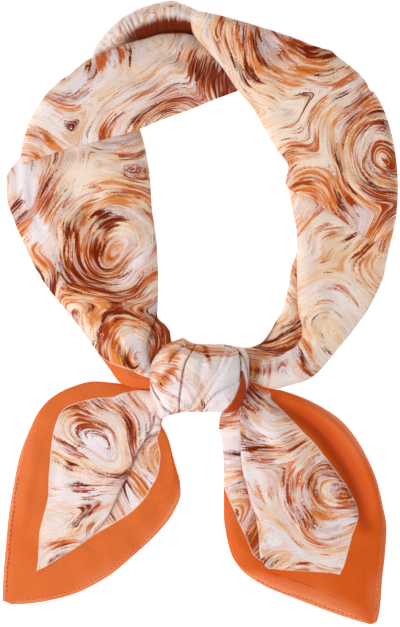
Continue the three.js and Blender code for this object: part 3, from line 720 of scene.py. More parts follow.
# %% Tables of the ends
END = "lx ly fx fy rx ry lz fz rz puff back el gl er gr"
LEFT_END = table(END, [
    [-25, -46, -20, -52.5, -15, -60, 0.4, 7, 4, 1, 3, 8, 20, 15, 10],
    [-31.5, -47.5, -26.5, -57, -22.5, -64, 0.4, 8, 4, 1, 5, 8, 6.7, 14, 10],
    [-40.5, -46, -28.5, -64, -24.5, -70, 0.4, 8.5, 3, 1.5, 11, 8, 3.5, 13, 7],
    [-49, -45, -30, -70, -22.5, -74, 0.4, 8.5, 2, 2, 17, 8, 1.9, 12, 3],
    [-66, -43.5, -34, -78.5, -20, -80, 0.4, 8, 1, 2.5, 22, 6, 1.06, 11, 1.3],
    [-82, -47.5, -38.5, -86, -17.5, -89.5, 0.3, 7.5, 0.5, 3, 25, 6, 1.18, 10.5, 1.25],
    [-93, -53.5, -42, -94, -15.5, -97, 0, 7, 0, 3, 25, 7, 1.26, 8.5, 1.15],
    [-101, -62, -46, -103, -13, -106, 0, 6.5, 0, 3, 25, 5, 1.16, 4, 1.08],
    [-107, -74, -50, -111, -12.5, -113.5, 0, 6, 0, 3, 23, 2.5, 1.07, 0.5, 1.0],
    [-113, -89.5, -54, -120, -17, -125.5, 0, 5.5, 0, 2.5, 19, 0, 0.97, 0, 0.87],
    [-117, -109, -59, -129.5, -28.5, -140, 0, 4.8, 0, 2, 14, 0, 0.88, 0, 0.78],
    [-120, -127.5, -67, -139, -42, -152.5, 0, 3.8, 0, 2, 6, 0, 0.95, 0, 0.73],
    [-122, -146.5, -79.5, -148, -59, -166.5, 0, 2.6, 0, 1.5, 0, 0, 1.04, 0, 0.74],
    [-123.5, -165, -98.5, -162, -84.5, -178.5, 0, 1.4, 0, 1, 0, 0, 0.98, 0, 0.83],
    [-124, -175, -115, -174.5, -109, -183, 0, 0.5, 0, 0.4, 0, 0, 1, 0, 0.9],
    [-124, -181.5, -122, -182, -119, -183.5, 0, 0, 0, 0, 0, 0, 1, 0, 1],
])
RIGHT_END = table(END, [
    [13, -50, 20, -46, 22, -40, 3, 7, 0.4, 1, 3, 24, 1, 12, 10],
    [15, -60, 26.5, -53.5, 31.5, -43, 3, 8, 0.4, 1, 6, 24, 1, 10, 8],
    [12.5, -65.5, 26.5, -60, 40.5, -47, 2.5, 8, 0.4, 1.5, 10, 24, 1, 8, 8],
    [12, -72, 25.5, -69, 50.5, -49, 1.5, 8, 0.4, 2, 15, 24, 1, 6, 1.75],
    [13.5, -80, 26, -79, 63, -53, 0.8, 7.5, 0.4, 2.5, 20, 24, 1, 4, 1.14],
    [14.5, -88.5, 26, -88.5, 75.5, -59, 0.4, 7, 0.2, 3, 24, 24, 1, 2, 0.94],
    [15, -98, 27, -98, 87.5, -67, 0, 7, 0, 3, 24, 22, 1, 0, 0.88],
    [15, -108, 29.5, -108, 97.5, -78.5, 0, 6.5, 0, 3, 24, 20.3, 1.1, 0, 0.87],
    [15, -118, 32, -118, 105, -91.5, 0, 6.5, 0, 3, 23, 16, 1.14, 0, 0.94],
    [15, -128, 35.5, -128.5, 111, -106, 0, 6, 0, 3, 21, 11, 1.15, 0, 1.1],
    [16.5, -139, 37, -140, 114.5, -120.5, 0, 5.5, 0, 2.5, 18, 7, 1.13, 0, 1.27],
    [19.5, -151, 38, -152.5, 117, -135.5, 0, 4.8, 0, 2.5, 13, 3.5, 1.17, 0, 0.91],
    [26.5, -162, 43, -161, 116, -152.5, 0, 4, 0, 2, 5, 0.5, 0.69, 0, 0.81],
    [39, -171, 56.5, -167, 114.5, -167, 0, 3, 0, 1.5, 0, 0, 0.405, 0, 0.76],
    [63, -181, 77, -174.5, 113.5, -181, 0, 2, 0, 1, 0, 0, 0.38, 0, 0.8],
    [91.5, -191.5, 99.5, -187.5, 112.5, -189, 0, 1, 0, 0.5, 0, 0, 0.5, 0, 0.9],
    [107, -196, 109.3, -195.4, 111.2, -194.3, 0, 0, 0, 0, 0, 0, 1, 0, 1],
])
# Lines pressed into each corner: height, width, reach and points in mm
LEFT_END_LINES = [
    (-2.2, 3.2, 0, [(-30, -66), (-36, -76), (-44, -84), (-58, -88)]),
    (1.6, 4, 0, [(-34, -60), (-45, -70), (-62, -76), (-80, -78)]),
    (1.4, 4, 0, [(-88, -60), (-100, -80), (-108, -110), (-112, -140)]),
    (-1.2, 4, 0, [(-80, -66), (-88, -90), (-94, -120)]),
    (1.6, 3.5, 0, [(-22, -72), (-17, -88), (-16, -104), (-24, -122)]),
    (1.2, 5, 0, [(-50, -100), (-66, -120), (-84, -142)]),
    (-1.0, 5, 0, [(-40, -118), (-60, -140), (-85, -158)]),
]
RIGHT_END_LINES = [
    (-4.6, 4.2, 0, [(46, -56), (62, -64), (78, -78), (92, -98), (101, -118), (104, -134)]),
    (3.4, 3.6, 0, [(52, -52), (72, -61), (90, -75), (104, -96), (111, -116), (113, -134)]),
    (-1.4, 3.5, 0, [(28, -66), (40, -80), (50, -100)]),
    (1.4, 5, 0, [(34, -62), (52, -80), (66, -104), (70, -130)]),
    (-1.0, 5, 0, [(48, -110), (60, -135), (80, -155)]),
    (1.2, 4, 0, [(18, -116), (20, -136), (30, -152)]),
]
print(len(LEFT_END["lx"]), "and", len(RIGHT_END["lx"]), "rows of the two corners")

# %% [markdown]
# ## The rows of a pleated corner
#
# The pleat starts at one outline, called near, and runs over the other part of the cloth, which
# ends at the far outline. Between the rows of the table everything follows its cubic. The three
# layers of the pleat lie a small gap apart, which closes where the pleat runs out.

# %% Corner rows
PLEAT_GAP = 1.3  # mm between the three layers of a pleat
DEEP_PLEAT = 22  # mm of depth from which the gap is full
HEM_TUCK = 1.8  # mm of cloth turned under at a plain hem
ROW_STEP = 1.2  # mm from one row to the next, with at least three rows between two of the table


def corner_rows(rows, pleat_over_right):
    """Fine rows of a corner by name. Near and far each have their outline, height, tuck and how
    fast the distance to the hem grows; wide and rest are the widths of the two panels."""
    values = rows_of(rows)
    at = distances(values[:, [0, 1, 4, 5]].reshape(-1, 2, 2))
    values = along_rows(values, at, steps(at, ROW_STEP, 3))
    t = {key: values[:, k : k + 1] for k, key in enumerate(rows)}
    left, right, fold = (np.stack([t[side + "x"], t[side + "y"]], -1) for side in "lrf")
    sides = [(left, t["lz"], t["el"], t["gl"]), (right, t["rz"], t["er"], t["gr"])]
    near, far = sides if pleat_over_right else sides[::-1]
    wide, rest = (np.linalg.norm(fold - side[0], axis=-1) for side in (near, far))
    deep = t["back"]
    gap = PLEAT_GAP * np.clip(deep / DEEP_PLEAT, 0.02, 1) ** 1.5 + 0.3 * np.clip(deep / 6, 0, 1)
    return SimpleNamespace(
        near=near, far=far, fold=fold, wide=wide, rest=rest, gap=gap, high=t["fz"], puff=t["puff"],
        back=np.minimum(deep, 0.8 * wide),
        tucks=[np.minimum(np.maximum(HEM_TUCK, side[2]), 0.6 * width)
               for side, width in ((near, wide), (far, rest))],
    )


print(len(corner_rows(LEFT_END, True).gap), "fine rows of the left corner")

# %% [markdown]
# ## The section of a pleated corner
#
# A row across a corner is a line of stations: the tucked hem, the upper panel, the nose of the
# fold, the way back under it, the way out again and the lower panel. Each station has a place
# across, a height and a place on the flat cloth. The hidden layers hang from the upper panel, so
# that they never come through it. A cubic through the stations gives the section, for all rows
# at once.

# %% Corner section
END_COLUMNS = 130


def corner_section(c):
    """Across all rows: place across, height, place on the cloth, how much the lines are pressed,
    the layer of the pleat and whether it belongs to the body of the cloth, not to its hem."""
    zn, zf, top = c.near[1] + SILK / 2, c.far[1] + SILK / 2, c.high + SILK / 2
    wide, rest, back, gap = c.wide, c.rest, c.back, c.gap
    none, cloth, stations = 0 * wide, wide + 2 * back, []

    def station(*values):
        stations.append(np.stack(np.broadcast_arrays(none, *values)[1:], -1))

    def panel(x):
        s = x / wide
        return np.maximum(zn + 1.0 + (top - zn - 1.0) * s + c.puff * 4 * s * (1 - s), zn)

    def under(x, layers):
        return np.maximum(np.minimum(top, panel(x)) - gap * layers, zn)

    for s in (1.0, 0.5, 0.06):
        station(c.tucks[0] * s, zn + 0.1, -c.tucks[0] * s, 0, 0, 0)
    station(-0.15, zn + 0.55, 0, 0.2, 0, 0)
    for s in (0.015, 0.1, 0.25, 0.45, 0.65, 0.82, 0.94):
        station(wide * s, panel(wide * s), wide * s, 1, 0, 1)
    station(wide - 0.3 * gap, top, wide - 0.3 * gap, 0.8, 0, 1)
    station(wide + 0.2 * gap, top - 0.5 * gap, wide + 0.3 * gap, 0.3, 0.5, 1)
    station(wide - 0.3 * gap, top - gap, wide + gap, 0, 1, 1)
    for s in (0.5, 0.95):
        x = wide - back * s
        station(x, under(x, 1 + 0.1 * s), wide + back * s, 0, 1, 1)
    x = wide - back - 0.3 * gap
    station(x, under(x, 1.5), wide + back, 0, 1.5, 1)
    for s in (0.95, 0.5, 0.0):
        x = wide - back * s
        station(x, under(x, 2 - 0.05 * s), cloth - back * s, 0, 2, 1)
    low = top - 2 * gap
    for s in (0.06, 0.2, 0.4, 0.62, 0.82, 0.985):
        rise = low + (zf + 1.0 - low) * s + c.puff * 2 * s * (1 - s)
        station(wide + rest * s, np.maximum(rise, zf), cloth + rest * s, 1, 2 * (1 - s) ** 2, 1)
    station(wide + rest + 0.15, zf + 0.55, cloth + rest, 0.2, 0, 0)
    for s in (0.06, 0.5, 1.0):
        tuck = c.tucks[1] * s
        station(wide + rest - tuck, zf + 0.1, cloth + rest + tuck, 0, 0, 0)
    stations = np.stack(stations)  # station, row, 1, value
    run = distances(stations[:, :, 0, :2])
    fine = along_rows(
        stations.reshape(len(stations), -1), run, np.linspace(0, run[-1], END_COLUMNS)
    )
    return np.moveaxis(fine.reshape(END_COLUMNS, -1, 6), 0, 1).transpose(2, 0, 1)


print("its section:", corner_section(corner_rows(LEFT_END, True)).shape, "values, rows, columns")

# %% [markdown]
# ## From the section to the corner
#
# From above, a row runs straight from the near outline to the fold and on to the far one. Where
# the pleat has run out there is no fold any more, and the row becomes one smooth arc under a
# single dome. The distance to the hem grows from both outlines inwards.

# %% Corner surface


def corner_grid(rows, pleat_over_right, lines):
    """Grid of a corner, its flat cloth coordinates, its distance to the hem, and its distance along
    each row from the near and from the far outline. The arc is a quadratic Bezier curve whose
    control point makes it pass the fold point."""
    c = corner_rows(rows, pleat_over_right)
    x, z, cloth, seen, layer, body = corner_section(c)
    near, far, fold, wide, rest, back = c.near, c.far, c.fold, c.wide, c.rest, c.back
    q = np.clip(x / (wide + rest), 0, 1)
    dome = near[1] + SILK / 2 + 0.9 + (far[1] - near[1]) * q
    dome += (c.high + 0.6 * c.puff) * (4 * q * (1 - q)) ** 0.8
    dome -= layer * (SILK + 0.3) * np.clip(back / 1.5, 0, 1)
    z = z + np.clip(body, 0, 1) * (1 - np.clip(back / 14, 0, 1)) * (dome - z)
    first, second = np.minimum(x, wide) / wide, np.maximum(x - wide, 0) / np.maximum(rest, 1e-6)
    plan = near[0] + (fold - near[0]) * first[..., None] + (far[0] - fold) * second[..., None]
    turn, s = (wide / (wide + rest))[..., None], q[..., None]
    control = (fold - near[0] * (1 - turn) ** 2 - far[0] * turn**2) / (2 * turn * (1 - turn))
    arc = near[0] * (1 - s) ** 2 + 2 * s * (1 - s) * control + far[0] * s**2
    plan += np.clip(1 - back / 4, 0, 1)[..., None] * (arc - plan)
    flat = plan + unit(fold - near[0]) * np.clip(cloth - x, 0, None)[..., None]
    z += seen * (pressed(plan, lines) + 0.35 * ripple(flat, 26, 21))
    points = raised(plan, np.maximum(z, SILK / 2 + 0.05))
    beyond = wide + 2 * back + rest - cloth
    hem = np.maximum(np.minimum(near[2] + near[3] * cloth, far[2] + far[3] * beyond), 0)
    return points, flat, hem, cloth, beyond


# Painted shade along the deep fold beside the right corner's border
VALLEY_SHADE = (0.6, 4.5, RIGHT_END_LINES[0][-1])  # the deep fold along the border
# Where the right corner is printed with fewer strokes
BARE = [(-1.8, 9, [(38, -60), (46, -74)]), (-1.8, 12, [(84, -142), (98, -160)])]

left_grid = corner_grid(LEFT_END, True, LEFT_END_LINES)
points, flat, hem = left_grid[:3]
left_end = grid_piece("scarf_left_end", points, flat + [-60, 90], hem, dense=-0.8, cool=0.8)
right_grid = corner_grid(RIGHT_END, False, RIGHT_END_LINES)
points, flat, hem = right_grid[:3]
dense, shade = near_lines(points[..., :2], BARE), near_lines(points[..., :2], [VALLEY_SHADE])
right_end = grid_piece(
    "scarf_right_end", points, flat + [170, -30], hem, dense, shade, cool=0.9, turned=True
)

# %% [markdown]
# ## The knot's measurements
#
# One turn of the band wraps round the knot from its upper to its lower side, so its pleats run
# nearly straight down across it, drawn together at the top. Each pleat is a lap with a thin groove
# beside it, and the creases pulled shut get a thin line of painted shade. At the knot's right end a
# leaf of the plain border, painted in shade for the fold it lies in, comes to the surface.

# %% Tables of the knot
KNOT = table("x low high top", [
    [-31.5, -49, -35, 12],
    [-30.5, -53, -32, 14.5],
    [-29, -58, -29, 17.5],
    [-26.5, -63.5, -25.5, 20.5],
    [-24, -66, -22.5, 23],
    [-20, -64.5, -19.6, 25],
    [-14, -63.2, -17.2, 27],
    [-10.6, -62.5, -16.2, 27.9],
    [-8, -62, -17.4, 28.5],
    [-3, -61.8, -19.2, 29.3],
    [5, -62, -19.8, 29.4],
    [13, -62.3, -19.4, 28.5],
    [19, -62.8, -20.4, 27],
    [24, -60, -21.2, 24.5],
    [27.5, -54.5, -22.6, 21],
    [29.5, -49, -25.5, 17],
    [31, -44, -30, 12],
])
# The leaf of plain border between its left and its right edge
RUST_LEAF = [
    [(26.1, -36.7), (25.3, -42), (23.4, -48.5), (19.8, -55.4), (13.7, -62.7)],
    [(26.6, -36.9), (28.4, -43.5), (29, -51), (27, -58), (15, -63.4)],
]
# Each line: height, width, reach, its painted shade where it is pulled shut, and its points
KNOT_LINES = [
    # The main lap, with the groove on its left, and the hood above its left lobe
    (2.2, 0.6, 9, 0, [(-12.3, -63), (-11.8, -53.7), (-10.9, -46.2), (-9.8, -38), (-8, -30.4),
                      (-4.8, -24.8), (-1.6, -18.5)]),
    (-1.7, 0.8, 0, 1, [(-13.2, -62.6), (-12.7, -53.7), (-11.7, -46.2), (-10.6, -38),
                       (-8.8, -30.4), (-5.6, -24.8), (-2.3, -19.1)]),
    (1.8, 0.6, 6, 0, [(-3.4, -19), (-10.1, -19.4), (-14.2, -22.2), (-17.6, -26), (-20.2, -31)]),
    (-1.5, 0.7, 0, 0.8, [(-3.4, -20), (-9.7, -20.2), (-13.5, -23), (-16.9, -26.8), (-19.4, -31.5)]),
    (0.9, 4.0, 0, 0, [(-21.4, -26), (-22.9, -37.4), (-21.7, -50), (-18.9, -61)]),
    # Short creases at the lower left
    (-1.8, 0.7, 0, 0.9, [(-30.9, -43.7), (-29, -48.7), (-25.2, -54.4)]),
    (-2.2, 0.7, 0, 0.7, [(-24.3, -57.6), (-20.7, -61), (-17, -63.6)]),
    # Long soft diagonal folds from the upper right to the lower left
    (2.0, 1.2, 8, 0, [(-6, -62), (-1.3, -55), (6.3, -42.4), (12.6, -34.2), (17.3, -19)]),
    (-1.6, 1.5, 0, 0.35, [(-7.2, -61), (-2.6, -54.5), (4.9, -42), (11.2, -34), (15.9, -20)]),
    (1.3, 1.6, 7, 0, [(1, -60), (11.3, -42.4), (17.6, -32.9), (22.7, -20)]),
    (-1.0, 1.6, 0, 0, [(-0.4, -59.5), (9.8, -42), (16.1, -32.4), (21.2, -20)]),
    (-1.4, 0.8, 0, 0.45, [(23.9, -42.4), (16.4, -46.2), (9.4, -50.6), (1.3, -60)]),
    (1.0, 2.4, 0, 0, [(24, -45.5), (17, -49.2), (10.4, -53.6), (4, -61)]),
    (-0.9, 2.2, 0, 0, [(3.1, -18.7), (1.9, -31.1), (-1.8, -44)]),
    # Where the wrap turns in under the strand at the upper right
    (-2.6, 0.8, 0, 0.9, [(15.5, -20), (19.5, -20.8), (23.5, -22.5), (26, -27)]),
    (-2.4, 0.8, 0, 1, [(24.2, -24.5), (25.2, -30), (25.4, -37), (24.6, -43)]),
    (0, 1, 0, 0.9, [(24.6, -24.1), (27.7, -29.8), (29.6, -36.7), (30.2, -43.7), (29.2, -51)]),
    # Both edges of the leaf of border
    (1.0, 0.5, 6, 0.9, RUST_LEAF[0][::-1]),
    (0, 1, 0, 0.9, RUST_LEAF[1]),
]
# Where the print shows more on the wrap, which is pale elsewhere
KNOT_SPOTS = [
    (2.6, 2.6, [(-15.4, -33.2), (-20, -38.5), (-24.5, -44.3)]),
    (2.2, 1.5, [(2.8, -20.5), (5, -28), (7, -34.5)]),
    (0.7, 5, [(-4, -21), (8, -24), (20, -22)]),
]
print("the knot is", np.ptp(KNOT["x"]), "mm long and", KNOT["top"].max(), "mm high")

# %% [markdown]
# ## The knot's body
#
# The knot is a closed body: a rounded section, flat where it rests, swept along x. Its lines are
# pushed out along the section's own direction, so that they also show from the sides. A single
# stretched sphere would be quicker, but it has neither the wrap's shoulders nor a seat.

# %% Knot body
KNOT_FLAT = 0.3  # share of the section's height that is cut off where the knot rests
KNOT_SQUARENESS = 0.72  # power of sine and cosine; 1 would be an ellipse, 0 a box
KNOT_ROWS, KNOT_COLUMNS = 230, 220
# Creases pulled shut get a thin line of painted shade
SHUT_WIDTH = 0.42  # mm on each side of a crease that is pulled shut over which it shows dark


def knot_grid():
    """Sections along x: a squared ellipse between the lower and upper outline, cut flat below,
    moved in or out by the lines pressed into the wrap. The first and the last section are drawn
    together to a point, so both ends are closed."""
    rows = rows_of(KNOT)
    fine = along_rows(rows, rows[:, 0], np.linspace(rows[0, 0], rows[-1, 0], KNOT_ROWS))
    x, low, high, top = fine.T[..., None]
    angle = np.linspace(0, 2 * np.pi, KNOT_COLUMNS, endpoint=False)[None, :]
    upper = angle < np.pi
    half, tall = (high - low) / 2, top / (1 - KNOT_FLAT / 2) / 2
    cos, sin = (np.sign(v) * abs(v) ** KNOT_SQUARENESS for v in (np.cos(angle), np.sin(angle)))
    y, z = (low + high) / 2 + half * cos, top - tall + tall * sin
    plan = together(x, y)
    push = upper * np.sin(np.clip(angle, 0, np.pi)) ** 0.35
    push = push * pressed(plan, [(*line[:3], line[4]) for line in KNOT_LINES])
    push += 0.25 * ripple(together(x, angle * 22), 12, 31)
    out = unit(together(np.cos(angle) / half, np.sin(angle) / tall))
    y, z = y + push * out[..., 0], z + push * out[..., 1]
    tips = [0, -1]
    y[tips] += 0.98 * ((low + high)[tips] / 2 - y[tips])
    z[tips] += 0.98 * (top[tips] / 2 - z[tips])
    # Painted shade along the creases pulled shut and over the leaf of border
    shut = [(dark, SHUT_WIDTH, line) for *_, dark, line in KNOT_LINES if dark]
    left, right = (line_offset(plan, edge)[0] for edge in RUST_LEAF)
    leaf = np.where((x > 13) & upper, np.minimum(-left, right), -50)  # mm inside the leaf
    shade = np.maximum(near_lines(plan, shut) * upper, 0.75 * np.clip(leaf / 0.5, 0, 1))
    # The ground is whiter towards the knot's lower side, below y = -24 mm
    dense, cool = near_lines(plan, KNOT_SPOTS) - 1.5, np.clip((-24 - y) / 18, 0, 1)
    points, flat = together(x, y, np.maximum(z, 0.02)), together(x, angle * 24) + [40, -160]
    return points, flat, BORDER_WIDTH - leaf, dense, shade, cool


knot = grid_piece("scarf_knot", *knot_grid(), closed=True, turned=True)

# %% [markdown]
# ## Stitches of the hem
#
# The hem is turned under and held by a running stitch close to the edge. Each stitch is a short
# rounded thread with eighteen faces, repeated along a line two millimetres in from the edge.

# %% Stitches
STITCH_PITCH, STITCH_LENGTH, STITCH_RADIUS, STITCH_INSET = 3.0, 2.1, 0.33, 2.0  # mm
SIDES = 6  # of the thread's section


def stitch_path(grid, near, rows):
    """The line on the cloth that lies the inset away from one outline, for some of the rows."""
    points, inset = grid[0], grid[3 if near else 4]
    pick = abs(inset - STITCH_INSET).argmin(axis=1)
    line = points[np.arange(len(points)), pick]
    return line[int(rows[0] * len(line)) : int(rows[1] * len(line))]


def along_path(path, at, where):
    """Points of a path at some distances along it."""
    return np.stack([np.interp(where, at, path[:, k]) for k in range(3)], 1)


def stitches(paths, fatness):
    """Vertices and faces of all stitches: a capsule of four rings of points, laid along the path
    at every pitch and half sunk in the cloth. Each path has its own fatness."""
    ring = np.linspace(0, 2 * np.pi, SIDES, endpoint=False)
    along = np.array([-0.5, -0.36, 0.36, 0.5]) * STITCH_LENGTH
    fat = np.array([0.35, 1, 1, 0.35]) * STITCH_RADIUS
    shape = [np.repeat(along, SIDES), np.outer(fat, np.cos(ring)), np.outer(fat, np.sin(ring))]
    shape = np.stack([part.ravel() for part in shape], 1)
    i, j = np.arange(3)[:, None] * SIDES, np.arange(SIDES)[None, :]
    k = (j + 1) % SIDES
    faces = np.stack([i + j, i + k, i + SIDES + k, i + SIDES + j], -1).reshape(-1, 4)
    points = []
    for path, thick in zip(paths, fatness):
        at = distances(path[:, None])
        where = np.arange(STITCH_PITCH, at[-1] - STITCH_PITCH, STITCH_PITCH)
        middle, ahead = (along_path(path, at, where + step) for step in (0, 1))
        way = unit(ahead - middle)
        side = unit(np.cross([0, 0, 1], way))
        up = np.cross(way, side)
        laid = (shape * [1, thick, thick]) @ np.stack([way, side, up], 1)
        points.append(laid + (middle + up * SILK * 0.6)[:, None])
    points = np.concatenate(points)
    quads = faces + len(shape) * np.arange(len(points))[:, None, None]
    return points.reshape(-1, 3), quads.reshape(-1, 4)


# Each hem: its corner, whether its outline is the near one, the share of the rows over which it is
# sewn in sight, and how fat its thread shows. The first lies open to the light; the others sink
# into the rolled hem
HEMS = [
    (left_grid, True, (0.52, 0.985), 1.1),
    (left_grid, False, (0.56, 0.985), 0.6),
    (right_grid, True, (0.4, 0.985), 0.6),
    (right_grid, False, (0.72, 0.985), 0.7),
]
paths = [stitch_path(*hem[:3]) for hem in HEMS]
stitch_points, stitch_quads = stitches(paths, [hem[3] for hem in HEMS])
mesh = bpy.data.meshes.new("scarf_hem_stitches")
mesh.from_pydata((stitch_points * MM).tolist(), [], stitch_quads.tolist())
mesh.update()
hem_stitches = show(mesh.name, mesh)
print(len(stitch_points) // (4 * SIDES), "stitches")

# %% [markdown]
# ## Nodes and colours
#
# One function adds a node with its settings and fills its sockets, and one turns the sRGB hex
# values that a colour picker shows into the linear values that the renderer works in.

# %% Node and colour helpers


def linear(code):
    """sRGB hex to linear RGBA."""
    part = np.array([int(code[i : i + 2], 16) for i in (1, 3, 5)]) / 255
    part = np.where(part <= 0.04045, part / 12.92, ((part + 0.055) / 1.055) ** 2.4)
    return (*part.tolist(), 1.0)


def feed(tree, node, inputs):
    """Fills a node's sockets, given by number or by the name of one in use, with plain values or
    with links: from an output, or from a node, which stands for its first output in use."""
    for key, value in inputs.items():
        if isinstance(key, str):
            socket = next(s for s in node.inputs if s.enabled and s.name == key)
        else:
            socket = node.inputs[key]
        if isinstance(value, bpy.types.Node):
            value = next(s for s in value.outputs if s.enabled)
        if isinstance(value, bpy.types.NodeSocket):
            tree.links.new(value, socket)
        else:
            socket.default_value = value


def add(tree, kind, inputs=None, **settings):
    """Adds a node with its settings, and feeds its inputs."""
    made = tree.nodes.new("ShaderNode" + kind)
    for key, value in settings.items():
        setattr(made, key, value)
    feed(tree, made, inputs or {})
    return made


def new_material(name):
    """A material, its node tree and its shader."""
    material = bpy.data.materials.new(name)
    material.use_nodes = True
    return material, material.node_tree, material.node_tree.nodes["Principled BSDF"]


print("mid grey #808080 is", round(linear("#808080")[0], 3), "in linear light")

# %% [markdown]
# ## Printed silk twill
#
# The real cloth is silk twill, screen printed and steamed: a soft shine with no hard highlight, a
# fine diagonal rib, and colour that sits in the thread. The print is a marbled pattern of
# feathered strokes that bend round stone-like cells. The cells are a smooth Voronoi pattern bent
# by noise. Its distance value is constant along a stroke and changes across it, so noise that is
# read with that distance stretched a lot gives strokes that follow the cells. A second, finer
# reading breaks each stroke up like a dry brush. A slow drift is added to the distance, so that no
# part between the cells stays level and shows as a blot. The plain border and the hem come from the
# distance to the hem that each piece carries.

# %% Where the print lies
CELL = 0.076  # m, one marbled cell
# Scales of the noises, as spots per metre of cloth: parts that are full of strokes, 77 mm; the
# bending of the cells, 71 mm; the grain of the threads, 1 mm, drawn coarser so that it shows
PARTS, SWAY, GRAIN = 13.0, 14.0, 1000.0
BEND_REACH = 0.055  # m by which the noise bends the cells
PARTS_GAIN, PARTS_BASE = 5.0, -2.3  # density for each unit of noise, and where the noise is 0
# Density added outwards from a cell's middle: from and to which distance in cells, and how much
RINGS = [(0.38, 0.68, 0.7, -1.7), (0.10, 0.24, -1.2, 0.0)]
DRIFT = (3.8, -3.0, 0.0)  # cells for each metre to the right and up the cloth
print("one cell of the print is", round(CELL * 1000), "mm")


def print_places(tree, cloth):
    """The print's own coordinates, which are the distance to the nearest cell's middle and the
    place on the cloth, and how dense the strokes lie: thin in a cell's middle, crowded in a ring
    round it and thin again between the cells, with a slow change from part to part."""
    dense = add(tree, "Attribute", attribute_name="dense").outputs["Fac"]
    parts = add(tree, "TexNoise", {"Vector": cloth, "Scale": PARTS, "Detail": 1.0})
    parts = add(tree, "Math", {0: parts, 1: PARTS_GAIN, 2: PARTS_BASE}, operation="MULTIPLY_ADD")
    sway = add(tree, "TexNoise", {"Vector": cloth, "Scale": SWAY, "Detail": 1.5}).outputs["Color"]
    sway = add(tree, "VectorMath", {0: sway, 1: (0.5, 0.5, 0.5)}, operation="SUBTRACT")
    bent = {0: sway, 1: (BEND_REACH, BEND_REACH, 0.0), 2: cloth}
    bent = add(tree, "VectorMath", bent, operation="MULTIPLY_ADD")
    cells = {"Vector": bent, "Scale": 1 / CELL, "Smoothness": 0.15, "Randomness": 1.0}
    cells = add(tree, "TexVoronoi", cells, feature="SMOOTH_F1", voronoi_dimensions="2D")
    for limits in RINGS:
        ring = dict(zip(("From Min", "From Max", "To Min", "To Max"), limits))
        ring = add(tree, "MapRange", {"Value": cells, **ring})
        parts = add(tree, "Math", {0: parts, 1: ring}, operation="ADD")
    dense = add(tree, "Math", {0: dense, 1: parts}, operation="ADD")
    drift = add(tree, "VectorMath", {0: bent, 1: DRIFT}, operation="DOT_PRODUCT")
    cells = add(tree, "Math", {0: cells, 1: drift}, operation="ADD")
    flat = add(tree, "SeparateXYZ", {0: cloth})
    place = add(tree, "CombineXYZ", {0: cells, 1: flat.outputs[0], 2: flat.outputs[1]})
    return place, dense


# %% [markdown]
# ## The brush
#
# A loaded brush leaves hair-thin lines, and a drier one breaks them up. Both follow the stroke, so
# they are noise in the print's own coordinates, very fine across the stroke and long along it. One
# reading gives three sets of hairs in its three colour channels; the other gives the gaps.

# %% Hairs and gaps
HAIR, GAP = 0.0017, 0.0013  # m across the stroke
HAIRS_ALONG, GAPS_ALONG = 55.0, 72.0  # per metre along it
print("hairs of the brush are", HAIR * 1000, "mm wide and", round(1000 / HAIRS_ALONG), "mm long")


def brush(tree, place, grain):
    """Three sets of hairs, faintly broken by the grain of the threads, and the gaps."""
    hairs = {0: place, 1: (CELL / HAIR, HAIRS_ALONG, HAIRS_ALONG)}
    hairs = add(tree, "VectorMath", hairs, operation="MULTIPLY")
    hairs = {"Vector": hairs, "Scale": 1.0, "Detail": 2.5, "Roughness": 0.6}
    hairs = add(tree, "TexNoise", hairs).outputs["Color"]
    hairs = {"Factor": 0.24, "A": hairs, "B": grain.outputs["Color"]}
    hairs = add(tree, "Mix", hairs, data_type="RGBA")
    gaps = {0: place, 1: (CELL / GAP, GAPS_ALONG, GAPS_ALONG)}
    gaps = add(tree, "VectorMath", gaps, operation="MULTIPLY")
    gaps = add(tree, "TexNoise", {"Vector": gaps, "Scale": 1.0, "Detail": 1.5})
    gaps = {"Value": gaps, "From Min": 0.38, "From Max": 0.55, "To Min": 0.25}
    return add(tree, "SeparateColor", {0: hairs}), add(tree, "MapRange", gaps)


# %% [markdown]
# ## The strokes, printed one colour after the other
#
# A screen print lays one colour over the other, from the palest to the darkest, and a last pale
# one that leaves light lines. The ground under them is a warm cream that turns to a cool white in
# large patches.

# %% Ground and strokes
CREAM, LILAC = linear("#F1DCC9"), linear("#E9DEE1")
GROUND_PATCHES = 22.0  # per metre, 45 mm each
DENSITY = 0.07  # how much a unit of density lowers the threshold of a stroke
# Each layer of strokes, from the first printed to the last: width and length of a bundle of
# strokes in m, offset of its noise, noise values where it starts and is full, how much the hairs
# of the brush part it, which of the three sets of hairs it uses, how much it follows the parts
# where the print is dense, strength and colour
STROKES = [
    (0.0160, 0.045, 7.3, 0.40, 0.58, 0.80, 0, 1.0, 0.80, "#EFC294"),
    (0.0075, 0.030, 2.2, 0.42, 0.60, 1.00, 1, 1.0, 0.75, "#DE9A60"),
    (0.0110, 0.032, 5.9, 0.53, 0.64, 0.95, 2, 1.0, 0.95, "#DB7F38"),
    (0.0070, 0.026, 9.4, 0.57, 0.66, 0.90, 0, 1.0, 0.95, "#C85A18"),
    (0.0080, 0.030, 12.9, 0.59, 0.67, 0.90, 1, 1.0, 1.0, "#A43C06"),
    (0.0065, 0.026, 21.7, 0.635, 0.70, 0.80, 2, 1.0, 1.0, "#741E00"),
    (0.0090, 0.040, 31.3, 0.57, 0.66, 1.00, 1, -0.4, 0.70, "#F1E6E4"),
]
print(len(STROKES), "layers of strokes")


